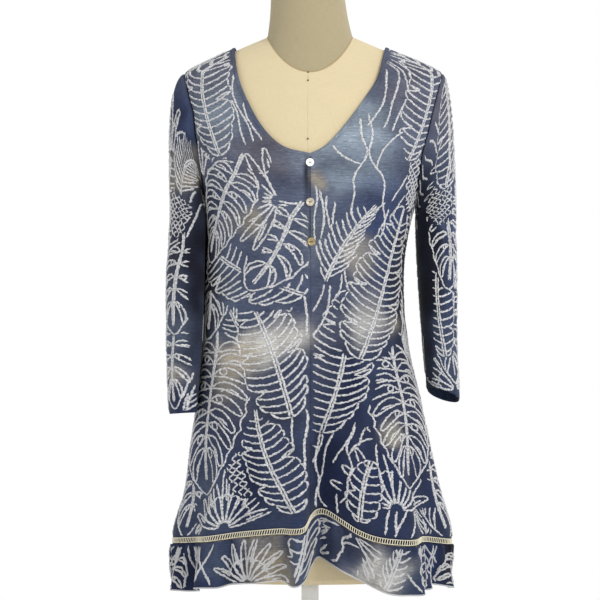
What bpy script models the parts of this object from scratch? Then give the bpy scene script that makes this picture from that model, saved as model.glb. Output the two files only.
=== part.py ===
"""Tunic top worn by a limbless dress form that stands on a pole and a round base.

Units are metres and +Z is up. The front of the tunic faces -Y, and +X is on the right of
someone who looks at the front. The origin is on the floor, in the middle of the base.

The body of the tunic is one surface: a point on it has an angle round the body (0 at the
centre front, 90 degrees at the side seam on the +X side, 180 at the centre back) and a height.
The dress form is the same kind of surface, a little smaller. Every panel is a patch of the
cloth's surface between two seams, given thickness on its inner side.
"""
import math
from collections import namedtuple

import bmesh
import bpy
from mathutils import Vector

OBJECT_NAME = "tunic_top"
DIRECTION = {"left": -1, "right": 1}

# Cloth and seams
CLOTH = 0.0012
SEAM_GAP = 0.0004
SHOULDER_GAP = 0.0013
TRIM_GAP = 0.0009
RUFFLE_GAP = 0.0013
ARMHOLE_GAP = 0.0005
MERGE = 0.00001

# Cross-sections: at each height, how far the left, right, front and back reach from the middle,
# and how much fuller than an ellipse the section is. Left is -X.
Section = namedtuple("Section", "height left right front back fullness")
CLOTH_SECTIONS = [
    Section(0.580, 0.1850, 0.1920, 0.1660, 0.1760, 0.12),
    Section(0.640, 0.1920, 0.1950, 0.1590, 0.1690, 0.12),
    Section(0.700, 0.1940, 0.2000, 0.1500, 0.1600, 0.12),
    Section(0.760, 0.1775, 0.1845, 0.1410, 0.1530, 0.12),
    Section(0.820, 0.1708, 0.1720, 0.1330, 0.1450, 0.12),
    Section(0.880, 0.1635, 0.1610, 0.1260, 0.1330, 0.12),
    Section(0.940, 0.1580, 0.1475, 0.1200, 0.1190, 0.12),
    Section(1.000, 0.1545, 0.1385, 0.1170, 0.1070, 0.12),
    Section(1.050, 0.1535, 0.1355, 0.1180, 0.1005, 0.12),
    Section(1.100, 0.1520, 0.1375, 0.1220, 0.1000, 0.12),
    Section(1.160, 0.1520, 0.1485, 0.1300, 0.1050, 0.12),
    Section(1.220, 0.1640, 0.1660, 0.1230, 0.1110, 0.12),
    Section(1.280, 0.1770, 0.1830, 0.1080, 0.1120, 0.07),
    Section(1.330, 0.1845, 0.1940, 0.0900, 0.1050, -0.03),
    Section(1.350, 0.1850, 0.1955, 0.0795, 0.0965, -0.10),
    Section(1.363, 0.1820, 0.1920, 0.0730, 0.0895, -0.15),
    Section(1.379, 0.1530, 0.1625, 0.0665, 0.0790, -0.22),
    Section(1.3980, 0.1135, 0.1165, 0.0610, 0.0710, -0.28),
    Section(1.4115, 0.0800, 0.0815, 0.0585, 0.0665, -0.30),
]
FORM_SECTIONS = [
    Section(0.635, 0.1590, 0.1590, 0.0985, 0.1090, 0.12),
    Section(0.700, 0.1670, 0.1670, 0.1040, 0.1200, 0.12),
    Section(0.760, 0.1690, 0.1690, 0.1080, 0.1280, 0.12),
    Section(0.820, 0.1640, 0.1640, 0.1080, 0.1260, 0.12),
    Section(0.880, 0.1500, 0.1500, 0.1020, 0.1120, 0.12),
    Section(0.940, 0.1320, 0.1320, 0.0960, 0.0940, 0.12),
    Section(1.000, 0.1205, 0.1205, 0.0930, 0.0800, 0.12),
    Section(1.050, 0.1235, 0.1235, 0.0990, 0.0800, 0.12),
    Section(1.100, 0.1320, 0.1320, 0.1120, 0.0870, 0.12),
    Section(1.160, 0.1430, 0.1430, 0.1250, 0.1000, 0.12),
    Section(1.220, 0.1565, 0.1565, 0.1185, 0.1065, 0.12),
    Section(1.280, 0.1700, 0.1720, 0.1035, 0.1075, 0.07),
    Section(1.330, 0.1780, 0.1850, 0.0845, 0.0995, -0.03),
    Section(1.350, 0.1750, 0.1830, 0.0730, 0.0900, -0.10),
    Section(1.363, 0.1680, 0.1780, 0.0665, 0.0825, -0.15),
    Section(1.379, 0.1430, 0.1515, 0.0605, 0.0725, -0.22),
    Section(1.3980, 0.1020, 0.1030, 0.0560, 0.0628, -0.28),
    Section(1.4115, 0.0700, 0.0710, 0.0530, 0.0605, -0.30),
    Section(1.4150, 0.0615, 0.0615, 0.0525, 0.0595, -0.30),
]
BUST_X = 0.085
BUST_HEIGHT = 1.155
BUST_WIDTH = 0.048
BUST_OUT = 0.009

# Folds at the hem: at each angle, how far the cloth stands out and how high the hem lifts
HEM_HEIGHT = 0.700
FOLD_TOP = 0.985
Fold = namedtuple("Fold", "angle out lift")
HEM_FOLDS = [
    Fold(-180, 0.010, 0.002),
    Fold(-168, -0.009, 0.000),
    Fold(-154, 0.011, -0.003),
    Fold(-139, -0.008, -0.001),
    Fold(-122, 0.010, -0.006),
    Fold(-106, -0.005, -0.008),
    Fold(-90, 0.002, -0.009),
    Fold(-74, 0.005, -0.004),
    Fold(-57, -0.008, 0.001),
    Fold(-43, 0.005, 0.006),
    Fold(-31, -0.005, 0.012),
    Fold(-20, 0.003, 0.017),
    Fold(-11, 0.004, 0.020),
    Fold(-5, 0.018, 0.021),
    Fold(-2, 0.012, 0.024),
    Fold(0, -0.015, 0.036),
    Fold(3, -0.034, 0.043),
    Fold(7, -0.032, 0.042),
    Fold(13, -0.020, 0.029),
    Fold(18, -0.010, 0.017),
    Fold(24, 0.001, 0.008),
    Fold(31, 0.010, 0.004),
    Fold(40, 0.012, 0.002),
    Fold(50, -0.006, 0.003),
    Fold(58, -0.008, 0.001),
    Fold(72, 0.006, -0.005),
    Fold(90, 0.002, -0.009),
    Fold(105, -0.007, -0.008),
    Fold(120, 0.009, -0.005),
    Fold(137, -0.009, -0.002),
    Fold(152, 0.010, -0.003),
    Fold(166, -0.008, 0.000),
    Fold(180, 0.010, 0.002),
]

# Neckline: at each height, how far its left and right sides are from the middle, from the
# shoulder seam down to the centre
SeamPoint = namedtuple("SeamPoint", "height left right")
NECK_FRONT = [
    SeamPoint(1.3980, 0.1135, 0.1145),
    SeamPoint(1.3836, 0.1133, 0.1105),
    SeamPoint(1.3475, 0.1066, 0.1002),
    SeamPoint(1.3150, 0.0944, 0.0805),
    SeamPoint(1.2725, 0.0705, 0.0490),
    SeamPoint(1.2450, 0.0410, 0.0225),
    SeamPoint(1.2335, 0.0, 0.0),
]
NECK_BACK = [
    SeamPoint(1.3980, 0.1135, 0.1145),
    SeamPoint(1.3890, 0.1080, 0.1095),
    SeamPoint(1.3785, 0.0850, 0.0850),
    SeamPoint(1.3710, 0.0450, 0.0450),
    SeamPoint(1.3690, 0.0, 0.0),
]
NECK_BAND = 0.005
SEAM_SAMPLES = 80
Sample = namedtuple("Sample", "length angle height point")

# Armhole: at each height, how far its left and right sides are from the middle
ARMHOLE_FRONT = [
    SeamPoint(1.3630, 0.1820, 0.1920),
    SeamPoint(1.3320, 0.1755, 0.1836),
    SeamPoint(1.3020, 0.1675, 0.1755),
    SeamPoint(1.2700, 0.1638, 0.1676),
    SeamPoint(1.2430, 0.1590, 0.1600),
    SeamPoint(1.2100, 0.1550, 0.1555),
    SeamPoint(1.1730, 0.1530, 0.1520),
]
ARMHOLE_BACK = [
    SeamPoint(1.3630, 0.1820, 0.1920),
    SeamPoint(1.3320, 0.1790, 0.1880),
    SeamPoint(1.3020, 0.1735, 0.1810),
    SeamPoint(1.2700, 0.1675, 0.1730),
    SeamPoint(1.2430, 0.1615, 0.1640),
    SeamPoint(1.2100, 0.1560, 0.1575),
    SeamPoint(1.1730, 0.1530, 0.1520),
]

# Sleeves: at each height, how far out the two sides lie, and the front and the back
SleeveRing = namedtuple("SleeveRing", "height outer inner front back")
SLEEVE_RIGHT = [
    SleeveRing(0.880, 0.2170, 0.1705, 0.0560, 0.0380),
    SleeveRing(0.905, 0.2160, 0.1695, 0.0560, 0.0380),
    SleeveRing(0.962, 0.2125, 0.1645, 0.0580, 0.0400),
    SleeveRing(1.035, 0.2125, 0.1590, 0.0590, 0.0440),
    SleeveRing(1.090, 0.2120, 0.1555, 0.0590, 0.0490),
    SleeveRing(1.150, 0.2110, 0.1535, 0.0580, 0.0530),
]
SLEEVE_LEFT = [
    SleeveRing(0.865, 0.2030, 0.1675, 0.0780, 0.0140),
    SleeveRing(0.905, 0.2050, 0.1645, 0.0790, 0.0150),
    SleeveRing(0.962, 0.2070, 0.1595, 0.0800, 0.0190),
    SleeveRing(1.035, 0.2075, 0.1560, 0.0790, 0.0250),
    SleeveRing(1.090, 0.2065, 0.1548, 0.0730, 0.0350),
    SleeveRing(1.150, 0.2020, 0.1545, 0.0620, 0.0500),
]

# How high a cuff is and how much it tilts, how far out the sleeve's cap starts to run, and how
# far the front of the sleeve leans in over the body
SleeveEnd = namedtuple("SleeveEnd", "height tilt run_out lean")
END_LEFT = SleeveEnd(0.8725, 0.002, 0.42, 0.014)
END_RIGHT = SleeveEnd(0.8970, 0.0085, 0.22, 0.0)
SLEEVE_CREASE = 0.0045
SLEEVE_FULLNESS = 0.12
CAP_RUN_DOWN = 0.18

# Ladder trim and ruffle
LADDER_HEIGHT = 0.008
RUFFLE_DROP = 0.060
RUFFLE_FLARE = 0.007
Wave = namedtuple("Wave", "angle out drop")
RUFFLE_FRONT = [
    Wave(-90, 0.000, -0.002),
    Wave(-79, -0.006, 0.002),
    Wave(-67, 0.010, 0.004),
    Wave(-57, -0.009, 0.006),
    Wave(-46, 0.012, 0.000),
    Wave(-38, -0.005, 0.003),
    Wave(-30, 0.009, 0.000),
    Wave(-23, -0.004, 0.002),
    Wave(-16, 0.006, 0.001),
    Wave(-10, -0.003, 0.001),
    Wave(-5, 0.016, 0.006),
    Wave(-1, 0.000, 0.002),
    Wave(3, -0.014, -0.002),
    Wave(7, -0.003, 0.002),
    Wave(12, 0.010, 0.002),
    Wave(20, -0.009, -0.002),
    Wave(27, 0.013, 0.004),
    Wave(35, 0.004, 0.005),
    Wave(42, 0.014, 0.004),
    Wave(49, -0.003, 0.004),
    Wave(54, 0.011, 0.002),
    Wave(61, -0.012, -0.004),
    Wave(69, 0.007, -0.002),
    Wave(79, -0.007, 0.000),
    Wave(90, 0.000, -0.002),
]
RUFFLE_BACK = [
    Wave(90, 0.000, -0.002),
    Wave(101, -0.007, 0.002),
    Wave(111, 0.009, 0.003),
    Wave(120, -0.008, 0.000),
    Wave(129, 0.010, 0.002),
    Wave(139, -0.009, 0.003),
    Wave(148, 0.014, 0.001),
    Wave(157, -0.005, 0.000),
    Wave(166, 0.010, 0.002),
    Wave(174, -0.008, 0.003),
    Wave(183, 0.013, 0.001),
    Wave(192, -0.006, 0.002),
    Wave(202, 0.011, 0.000),
    Wave(211, -0.009, 0.002),
    Wave(221, 0.012, 0.003),
    Wave(230, -0.006, 0.001),
    Wave(240, 0.010, 0.002),
    Wave(250, -0.009, 0.003),
    Wave(260, 0.006, 0.001),
    Wave(270, 0.000, -0.002),
]

# Buttons: how far each is from the centre front and its height
BUTTON_RADIUS = 0.0058
BUTTON_THICKNESS = 0.0022
BUTTON_EDGE = 0.0006
Button = namedtuple("Button", "name x height")
BUTTONS = [
    Button("button_top", -0.0006, 1.2258),
    Button("button_middle", -0.0004, 1.1705),
    Button("button_bottom", 0.0014, 1.1160),
]

# Dress form's neck, and the stand
NECK_SEAM_WIDTH = 0.0615
NECK_SEAM_SIDE = 1.4150
NECK_SEAM_FRONT = 1.3580
NECK_SEAM_BACK = 1.4240
NECK_SEAM_ROUND = 2.1
NECK_TOP_HEIGHT = 1.4700
NECK_TOP_WIDTH = 0.0537
NECK_TOP_DEPTH = 0.0520
NECK_LEAN = -0.003
NECK_CAP_THICKNESS = 0.012
NECK_CAP_EDGE = 0.003
FORM_SHOULDER_START = 1.330
POLE_RADIUS = 0.0125
BASE_RADIUS = 0.220
BASE_THICKNESS = 0.016
BASE_BEVEL = 0.004

# How many faces each piece has along its two directions
PANEL_COLUMNS = 15
COLUMN_CROWDING = 1.35
BACK_COLUMNS = 13
ARMHOLE_ROWS = 10
FRONT_NECK_ROWS = 9
BACK_NECK_ROWS = 6
BODY_ROWS = 30
CAP_ROWS = 4
SLEEVE_ROWS = 10
RUFFLE_COLUMNS = 54
RUFFLE_ROWS = 3
FORM_COLUMNS = 40
FORM_ROWS = 14
FORM_SHOULDER_ROWS = 8
NECK_ROWS = 3
ROUND_SIDES = 32
BUTTON_SIDES = 20


def clear_scene():
    """Remove every object that the file holds."""
    for item in list(bpy.data.objects):
        bpy.data.objects.remove(item, do_unlink=True)


def make_collection():
    """Make the collection that holds the part."""
    collection = bpy.data.collections.new(OBJECT_NAME)
    bpy.context.scene.collection.children.link(collection)
    return collection


def make_material(name, color, roughness, metallic=0.0):
    """Make a Principled material with one colour."""
    material = bpy.data.materials.new(name)
    material.use_nodes = True
    shader = material.node_tree.nodes["Principled BSDF"]
    shader.inputs["Base Color"].default_value = (*color, 1.0)
    shader.inputs["Roughness"].default_value = roughness
    shader.inputs["Metallic"].default_value = metallic
    return material


def slope_at(table, column, index):
    """Slope of a column at one row, from its neighbours."""
    low = max(index - 1, 0)
    high = min(index + 1, len(table) - 1)
    rise = getattr(table[high], column) - getattr(table[low], column)
    return rise / (table[high][0] - table[low][0])


def smooth(table, column, place):
    """Value of a column at a place, on a smooth curve through the table's rows."""
    if place <= table[0][0]:
        return getattr(table[0], column)
    if place >= table[-1][0]:
        return getattr(table[-1], column)
    index = 0
    while table[index + 1][0] < place:
        index += 1
    span = table[index + 1][0] - table[index][0]
    t = (place - table[index][0]) / span
    start = getattr(table[index], column)
    end = getattr(table[index + 1], column)
    leave = slope_at(table, column, index) * span
    arrive = slope_at(table, column, index + 1) * span
    across = start * (1 + 2 * t) * (1 - t) ** 2 + end * t * t * (3 - 2 * t)
    return across + leave * t * (1 - t) ** 2 + arrive * t * t * (t - 1)


def ease(t):
    """Smooth step from 0 to 1."""
    t = min(max(t, 0.0), 1.0)
    return t * t * (3 - 2 * t)


def mix(start, end, t):
    """Value part of the way from start to end."""
    return start + (end - start) * t


def bust(x, height):
    """How far the bust fills the front at one place."""
    sideways = (abs(x) - BUST_X) / BUST_WIDTH
    upwards = (height - BUST_HEIGHT) / BUST_WIDTH
    return BUST_OUT * math.exp(-sideways ** 2 - upwards ** 2)


def ring_point(sections, angle, height, out=0.0):
    """Point at an angle (radians) and a height, moved out by a distance."""
    width = smooth(sections, "right" if math.sin(angle) > 0 else "left", height)
    depth = smooth(sections, "front" if math.cos(angle) > 0 else "back", height)
    fullness = smooth(sections, "fullness", height)
    across = math.sin(angle)
    along = math.cos(angle)
    x = width * across * (1 + fullness * along ** 2)
    y = -depth * along * (1 + fullness * across ** 2)
    if along > 0:
        y -= bust(x, height)
    outward = Vector((across / width, -along / depth, 0.0)).normalized()
    return Vector((x, y, height)) + outward * out


def wrapped_degrees(angle):
    """Angle in degrees, from -180 to 180."""
    return (math.degrees(angle) + 180.0) % 360.0 - 180.0


def cloth_point(angle, height, out=0.0):
    """Point on the outside of the tunic's body, with its folds."""
    growth = ease((FOLD_TOP - height) / (FOLD_TOP - HEM_HEIGHT))
    fold = growth * smooth(HEM_FOLDS, "out", wrapped_degrees(angle))
    return ring_point(CLOTH_SECTIONS, angle, height, fold + out)


def hem_height(angle):
    """Height of the body's lower edge at an angle."""
    return HEM_HEIGHT + smooth(HEM_FOLDS, "lift", wrapped_degrees(angle))


def angle_at(sections, side, x, height):
    """Angle from the centre, up to 90 degrees, at which a side of a section is this wide."""
    width = smooth(sections, side, height)
    fullness = smooth(sections, "fullness", height)
    low = 0.0
    high = math.pi / 2
    for _ in range(40):
        middle = (low + high) / 2
        reach = width * math.sin(middle) * (1 + fullness * math.cos(middle) ** 2)
        if reach < x:
            low = middle
        else:
            high = middle
    return low


def seam_curve(points, count, side, back=False):
    """Angles (radians, 0 to 90 degrees) and heights at even steps along a seam on the cloth."""
    Knot = namedtuple("Knot", "place x height")
    place = 0.0
    knots = []
    for index, point in enumerate(points):
        x = getattr(point, side)
        if index:
            place += math.hypot(x - knots[-1].x, point.height - knots[-1].height)
        knots.append(Knot(place, x, point.height))
    fine = []
    length = 0.0
    direction = DIRECTION[side]
    for i in range(SEAM_SAMPLES + 1):
        spot = place * i / SEAM_SAMPLES
        height = smooth(knots, "height", spot)
        angle = angle_at(CLOTH_SECTIONS, side, smooth(knots, "x", spot), height)
        point = cloth_point(direction * (math.pi - angle if back else angle), height)
        if fine:
            length += (point - fine[-1].point).length
        fine.append(Sample(length, angle, height, point))
    result = []
    for i in range(count + 1):
        goal = length * i / count
        result.append((smooth(fine, "angle", goal), smooth(fine, "height", goal)))
    return result


def panel_patch(neck_points, arm_points, neck_rows, columns, side, back):
    """Grid of (angle, height) for half a panel, from the neck and centre to the armhole and side.

    The angle runs from 0 at the centre front, or the centre back, to 90 degrees.
    """
    inner = seam_curve(neck_points, neck_rows, side, back)
    outer = seam_curve(arm_points, ARMHOLE_ROWS, side, back)
    centre_hem = hem_height(math.pi if back else 0.0)
    side_hem = hem_height(math.pi / 2)
    centre_top = inner[-1][1]
    side_top = outer[-1][1]
    for row in range(neck_rows + 1, BODY_ROWS + 1):
        t = (row - neck_rows) / (BODY_ROWS - neck_rows)
        inner.append((0.0, mix(centre_top, centre_hem, t)))
    for row in range(ARMHOLE_ROWS + 1, BODY_ROWS + 1):
        t = (row - ARMHOLE_ROWS) / (BODY_ROWS - ARMHOLE_ROWS)
        outer.append((math.pi / 2, mix(side_top, side_hem, t)))
    patch = []
    for near, far in zip(inner, outer):
        patch.append([(mix(near[0], far[0], u), mix(near[1], far[1], u)) for u in columns])
    return patch


def settle_hem(patch, direction, turn):
    """Turn a half patch to its own side, and bend its lower rows to the hem's line."""
    result = []
    for row, line in enumerate(patch):
        t = ease((row - ARMHOLE_ROWS) / (BODY_ROWS - ARMHOLE_ROWS))
        bent = []
        for angle, height in line:
            turned = turn + direction * angle
            level = mix(hem_height(turn), hem_height(turn + direction * math.pi / 2),
                        angle / (math.pi / 2))
            bent.append((turned, height + t * (hem_height(turned) - level)))
        result.append(bent)
    return result


def half_patch(neck_points, arm_points, neck_rows, columns, side, back):
    """Angles and heights of half a panel, in their place round the body."""
    patch = panel_patch(neck_points, arm_points, neck_rows, columns, side, back)
    direction = DIRECTION[side]
    return settle_hem(patch, -direction if back else direction, math.pi if back else 0.0)


def grid_faces(rows, columns, closed=False):
    """Faces of a grid of points, wound so that they face out where columns run left to right."""
    faces = []
    across = columns if closed else columns - 1
    for row in range(rows - 1):
        for column in range(across):
            right = (column + 1) % columns
            upper = row * columns
            lower = upper + columns
            faces.append((lower + column, lower + right, upper + right, upper + column))
    return faces


def add_object(name, points, faces, material, collection):
    """Add a mesh object with smooth shading."""
    mesh = bpy.data.meshes.new(name)
    mesh.from_pydata([tuple(point) for point in points], [], faces)
    mesh.validate()
    mesh.shade_smooth()
    mesh.materials.append(material)
    item = bpy.data.objects.new(name, mesh)
    collection.objects.link(item)
    return item


def thicken(item, thickness=CLOTH):
    """Give an open sheet its thickness, on its inner side."""
    wall = item.modifiers.new("cloth thickness", "SOLIDIFY")
    wall.thickness = thickness
    wall.offset = -1.0
    wall.use_rim = True


def add_sheet(name, grid, material, collection, closed=False):
    """Add a wall of cloth from rows of points, top row first, each from left to right."""
    points = [point for line in grid for point in line]
    faces = grid_faces(len(grid), len(grid[0]), closed)
    item = add_object(name, points, faces, material, collection)
    thicken(item)
    return item


def seam_inset(line, start, end):
    """Pull the two ends of a row of points in from the seams."""
    first = line[0] + (line[1] - line[0]).normalized() * start
    last = line[-1] + (line[-2] - line[-1]).normalized() * end
    return [first, *line[1:-1], last]


def drop_edge(grid, top, bottom):
    """Pull the first and the last row of a grid in from the seams."""
    upper = [a + (b - a).normalized() * top for a, b in zip(grid[0], grid[1])]
    lower = [a + (b - a).normalized() * bottom for a, b in zip(grid[-1], grid[-2])]
    return [upper, *grid[1:-1], lower]


def panel_columns():
    """Places of a front panel's columns, closer together at the centre front."""
    return [(j / PANEL_COLUMNS) ** COLUMN_CROWDING for j in range(PANEL_COLUMNS + 1)]


def build_fronts(materials, collection):
    """Two front panels, joined at the centre front."""
    half_gap = SEAM_GAP / 2
    for side in DIRECTION:
        patch = half_patch(NECK_FRONT, ARMHOLE_FRONT, FRONT_NECK_ROWS, panel_columns(),
                           side, back=False)
        grid = []
        for line in patch:
            row = seam_inset([cloth_point(*place) for place in line], half_gap, half_gap)
            grid.append(row if side == "right" else row[::-1])
        trimmed = drop_edge(grid, SHOULDER_GAP / 2, half_gap)
        add_sheet("front_" + side, trimmed, materials["cloth"], collection)


def build_back(materials, collection):
    """One back panel: two mirrored halves that share the centre back below the neckline."""
    half_gap = SEAM_GAP / 2
    columns = [j / BACK_COLUMNS for j in range(BACK_COLUMNS + 1)]
    points = []
    faces = []
    for side in DIRECTION:
        patch = half_patch(NECK_BACK, ARMHOLE_BACK, BACK_NECK_ROWS, columns, side, back=True)
        grid = []
        for line in patch:
            row = seam_inset([cloth_point(*place) for place in line], 0.0, half_gap)
            grid.append(row[::-1] if side == "right" else row)
        grid = drop_edge(grid, SHOULDER_GAP / 2, half_gap)
        start = len(points)
        points.extend(point for line in grid for point in line)
        for face in grid_faces(len(grid), len(columns)):
            faces.append(tuple(start + corner for corner in face))
    item = add_object("back", points, faces, materials["cloth"], collection)
    sheet = bmesh.new()
    sheet.from_mesh(item.data)
    bmesh.ops.remove_doubles(sheet, verts=sheet.verts, dist=MERGE)
    sheet.to_mesh(item.data)
    sheet.free()
    thicken(item)


def armhole_loop(side):
    """Points round an armhole: from the shoulder tip down the front, and up the back."""
    front = seam_curve(ARMHOLE_FRONT, ARMHOLE_ROWS, side)
    back = seam_curve(ARMHOLE_BACK, ARMHOLE_ROWS, side, back=True)
    direction = DIRECTION[side]
    front_points = [cloth_point(direction * angle, height) for angle, height in front]
    back_points = [cloth_point(direction * (math.pi - angle), height) for angle, height in back]
    return front_points + back_points[-2:0:-1]


def sleeve_oval(rings, direction, turn, height, lean):
    """Point on a sleeve's section: turn 0 is outermost, 90 degrees is the front."""
    outer = smooth(rings, "outer", height)
    inner = smooth(rings, "inner", height)
    side = "front" if math.sin(turn) > 0 else "back"
    depth = smooth(rings, side, height)
    middle = (outer + inner) / 2
    reach = (outer - inner) / 2
    out = math.cos(turn) * (1 + SLEEVE_FULLNESS * math.sin(turn) ** 2)
    forward = math.sin(turn) * (1 + SLEEVE_FULLNESS * math.cos(turn) ** 2)
    shift = lean * ease(math.sin(turn)) * ease(-1.6 * math.cos(turn))
    return Vector((direction * (middle + reach * out - shift), -depth * forward, height))


def crease_depth(turn, height, cuff):
    """How deep the long crease in the front and the back of a sleeve is."""
    front = math.exp(-((turn - math.radians(62)) / 0.26) ** 2)
    rear = math.exp(-((turn - math.radians(290)) / 0.30) ** 2)
    fade = ease((1.24 - height) / 0.10) * ease((height - cuff + 0.10) / 0.10)
    return SLEEVE_CREASE * fade * (front + rear)


def cap_point(start, end, t, run_out):
    """Point on the curve that leaves the armhole seam outwards and then hangs down."""
    reach = (end - start).length
    outward = math.copysign(run_out * reach, end.x)
    leave = Vector((outward, 0.0, -CAP_RUN_DOWN * reach))
    arrive = Vector((0.0, 0.0, -reach))
    curve = start * ((1 + 2 * t) * (1 - t) ** 2) + end * (t * t * (3 - 2 * t))
    return curve + leave * (t * (1 - t) ** 2) + arrive * (t * t * (t - 1))


def build_sleeves(materials, collection):
    """Two set-in sleeves, from the armhole to the open cuff."""
    sides = (("left", SLEEVE_LEFT, END_LEFT), ("right", SLEEVE_RIGHT, END_RIGHT))
    for side, rings, cuff in sides:
        direction = DIRECTION[side]
        loop = armhole_loop(side)
        count = len(loop)
        turns = [2 * math.pi * i / count for i in range(count)]
        top = rings[-1].height
        ends = [sleeve_oval(rings, direction, turn, top, cuff.lean) for turn in turns]
        grid = []
        for row in range(CAP_ROWS):
            t = row / CAP_ROWS
            grid.append([cap_point(a, b, t, cuff.run_out) for a, b in zip(loop, ends)])
        shift = [(b - a).normalized() * ARMHOLE_GAP for a, b in zip(grid[0], grid[1])]
        grid[0] = [point + move for point, move in zip(grid[0], shift)]
        for row in range(SLEEVE_ROWS + 1):
            t = row / SLEEVE_ROWS
            line = []
            for turn in turns:
                low = cuff.height + cuff.tilt * (math.sin(turn) - math.cos(turn))
                height = mix(top, low, t)
                point = sleeve_oval(rings, direction, turn, height, cuff.lean)
                point.y += math.copysign(crease_depth(turn, height, cuff.height), math.sin(turn))
                line.append(point)
            grid.append(line)
        if side == "right":
            grid = [line[::-1] for line in grid]
        add_sheet("sleeve_" + side, grid, materials["cloth"], collection, closed=True)


def neckline_points():
    """Points of the whole neckline on the cloth: centre front, right, back, left, centre front."""
    def placed(points, count, side, back):
        line = []
        for angle, height in seam_curve(points, count, side, back):
            turned = math.pi - angle if back else angle
            line.append((DIRECTION[side] * turned, height))
        return line

    right = placed(NECK_FRONT, FRONT_NECK_ROWS, "right", False)[::-1]
    back_right = placed(NECK_BACK, BACK_NECK_ROWS, "right", True)
    back_left = placed(NECK_BACK, BACK_NECK_ROWS, "left", True)[::-1]
    left = placed(NECK_FRONT, FRONT_NECK_ROWS, "left", False)
    return right + back_right[1:] + back_left[1:] + left[1:]


def build_neck_band(materials, collection):
    """Narrow turned band along the neckline, with its ends at the centre front."""
    places = neckline_points()
    points = [cloth_point(*place) for place in places]
    step = 0.002
    rows = ([], [])
    for index, (angle, height) in enumerate(places):
        before = points[max(index - 1, 0)]
        after = points[min(index + 1, len(points) - 1)]
        along = (after - before).normalized()
        across = cloth_point(angle + step, height) - cloth_point(angle - step, height)
        upward = cloth_point(angle, height + step) - cloth_point(angle, height - step)
        normal = across.cross(upward).normalized()
        inward = normal.cross(along).normalized()
        rows[0].append(points[index] + inward * (TRIM_GAP + NECK_BAND))
        rows[1].append(points[index] + inward * TRIM_GAP)
    grid = [seam_inset(line, SEAM_GAP / 2, SEAM_GAP / 2) for line in rows]
    add_sheet("neck_band", grid, materials["cloth"], collection)


def trim_angles(start, end, count):
    """Angles from one side seam to the other, in radians, kept off the seams."""
    edge = TRIM_GAP / 2 / CLOTH_SECTIONS[2].front
    low = math.radians(start) + edge
    high = math.radians(end) - edge
    return [mix(low, high, i / count) for i in range(count + 1)]


def front_trim_angles():
    """Angles of the front hem's own columns, so that the trim follows its folds."""
    half = [math.pi / 2 * u for u in panel_columns()]
    edge = SEAM_GAP / 2 / CLOTH_SECTIONS[2].front
    half[-1] -= edge
    return [-angle for angle in half[:0:-1]] + half


def build_ladder(materials, collection):
    """Ladder-stitch trim under the body, in a front and a back length."""
    back_angles = trim_angles(90, 270, 2 * BACK_COLUMNS)
    for name, angles in (("ladder_front", front_trim_angles()), ("ladder_back", back_angles)):
        upper = []
        lower = []
        for angle in angles:
            hem = hem_height(angle)
            upper.append(cloth_point(angle, hem - TRIM_GAP))
            lower.append(cloth_point(angle, hem - LADDER_HEIGHT))
        add_sheet(name, [upper, lower], materials["trim"], collection)


def ruffle_point(waves, angle, degrees, t):
    """Point on the ruffle, t of the way down."""
    top = hem_height(angle) - LADDER_HEIGHT - RUFFLE_GAP
    drop = RUFFLE_DROP + smooth(waves, "drop", degrees)
    swing = smooth(waves, "out", degrees) * ease(t * 0.75) / ease(0.75)
    return cloth_point(angle, top - drop * t, swing + RUFFLE_FLARE * t)


def build_ruffles(materials, collection):
    """Gathered ruffle at the hem, in a front and a back length."""
    lengths = (("ruffle_front", RUFFLE_FRONT, -90), ("ruffle_back", RUFFLE_BACK, 90))
    for name, waves, start in lengths:
        angles = trim_angles(start, start + 180, RUFFLE_COLUMNS)
        grid = []
        for row in range(RUFFLE_ROWS + 1):
            t = row / RUFFLE_ROWS
            grid.append([ruffle_point(waves, angle, math.degrees(angle), t) for angle in angles])
        add_sheet(name, grid, materials["cloth"], collection)


def button_seat(button):
    """Middle of a button's back, clear of the cloth, with the way up and the way out there."""
    seat = cloth_point(0.0, button.height)
    above = cloth_point(0.0, button.height + BUTTON_RADIUS)
    below = cloth_point(0.0, button.height - BUTTON_RADIUS)
    up = (above - below).normalized()
    outward = Vector((1.0, 0.0, 0.0)).cross(up)
    seat.x = button.x
    proud = 0.0
    for turn in range(BUTTON_SIDES):
        angle = 2 * math.pi * turn / BUTTON_SIDES
        x = button.x + BUTTON_RADIUS * math.cos(angle)
        height = button.height + BUTTON_RADIUS * math.sin(angle)
        side = "right" if x > 0 else "left"
        around = math.copysign(angle_at(CLOTH_SECTIONS, side, abs(x), height), x)
        proud = max(proud, (cloth_point(around, height) - seat).dot(outward))
    return seat + outward * (proud + SEAM_GAP), up, outward


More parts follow.
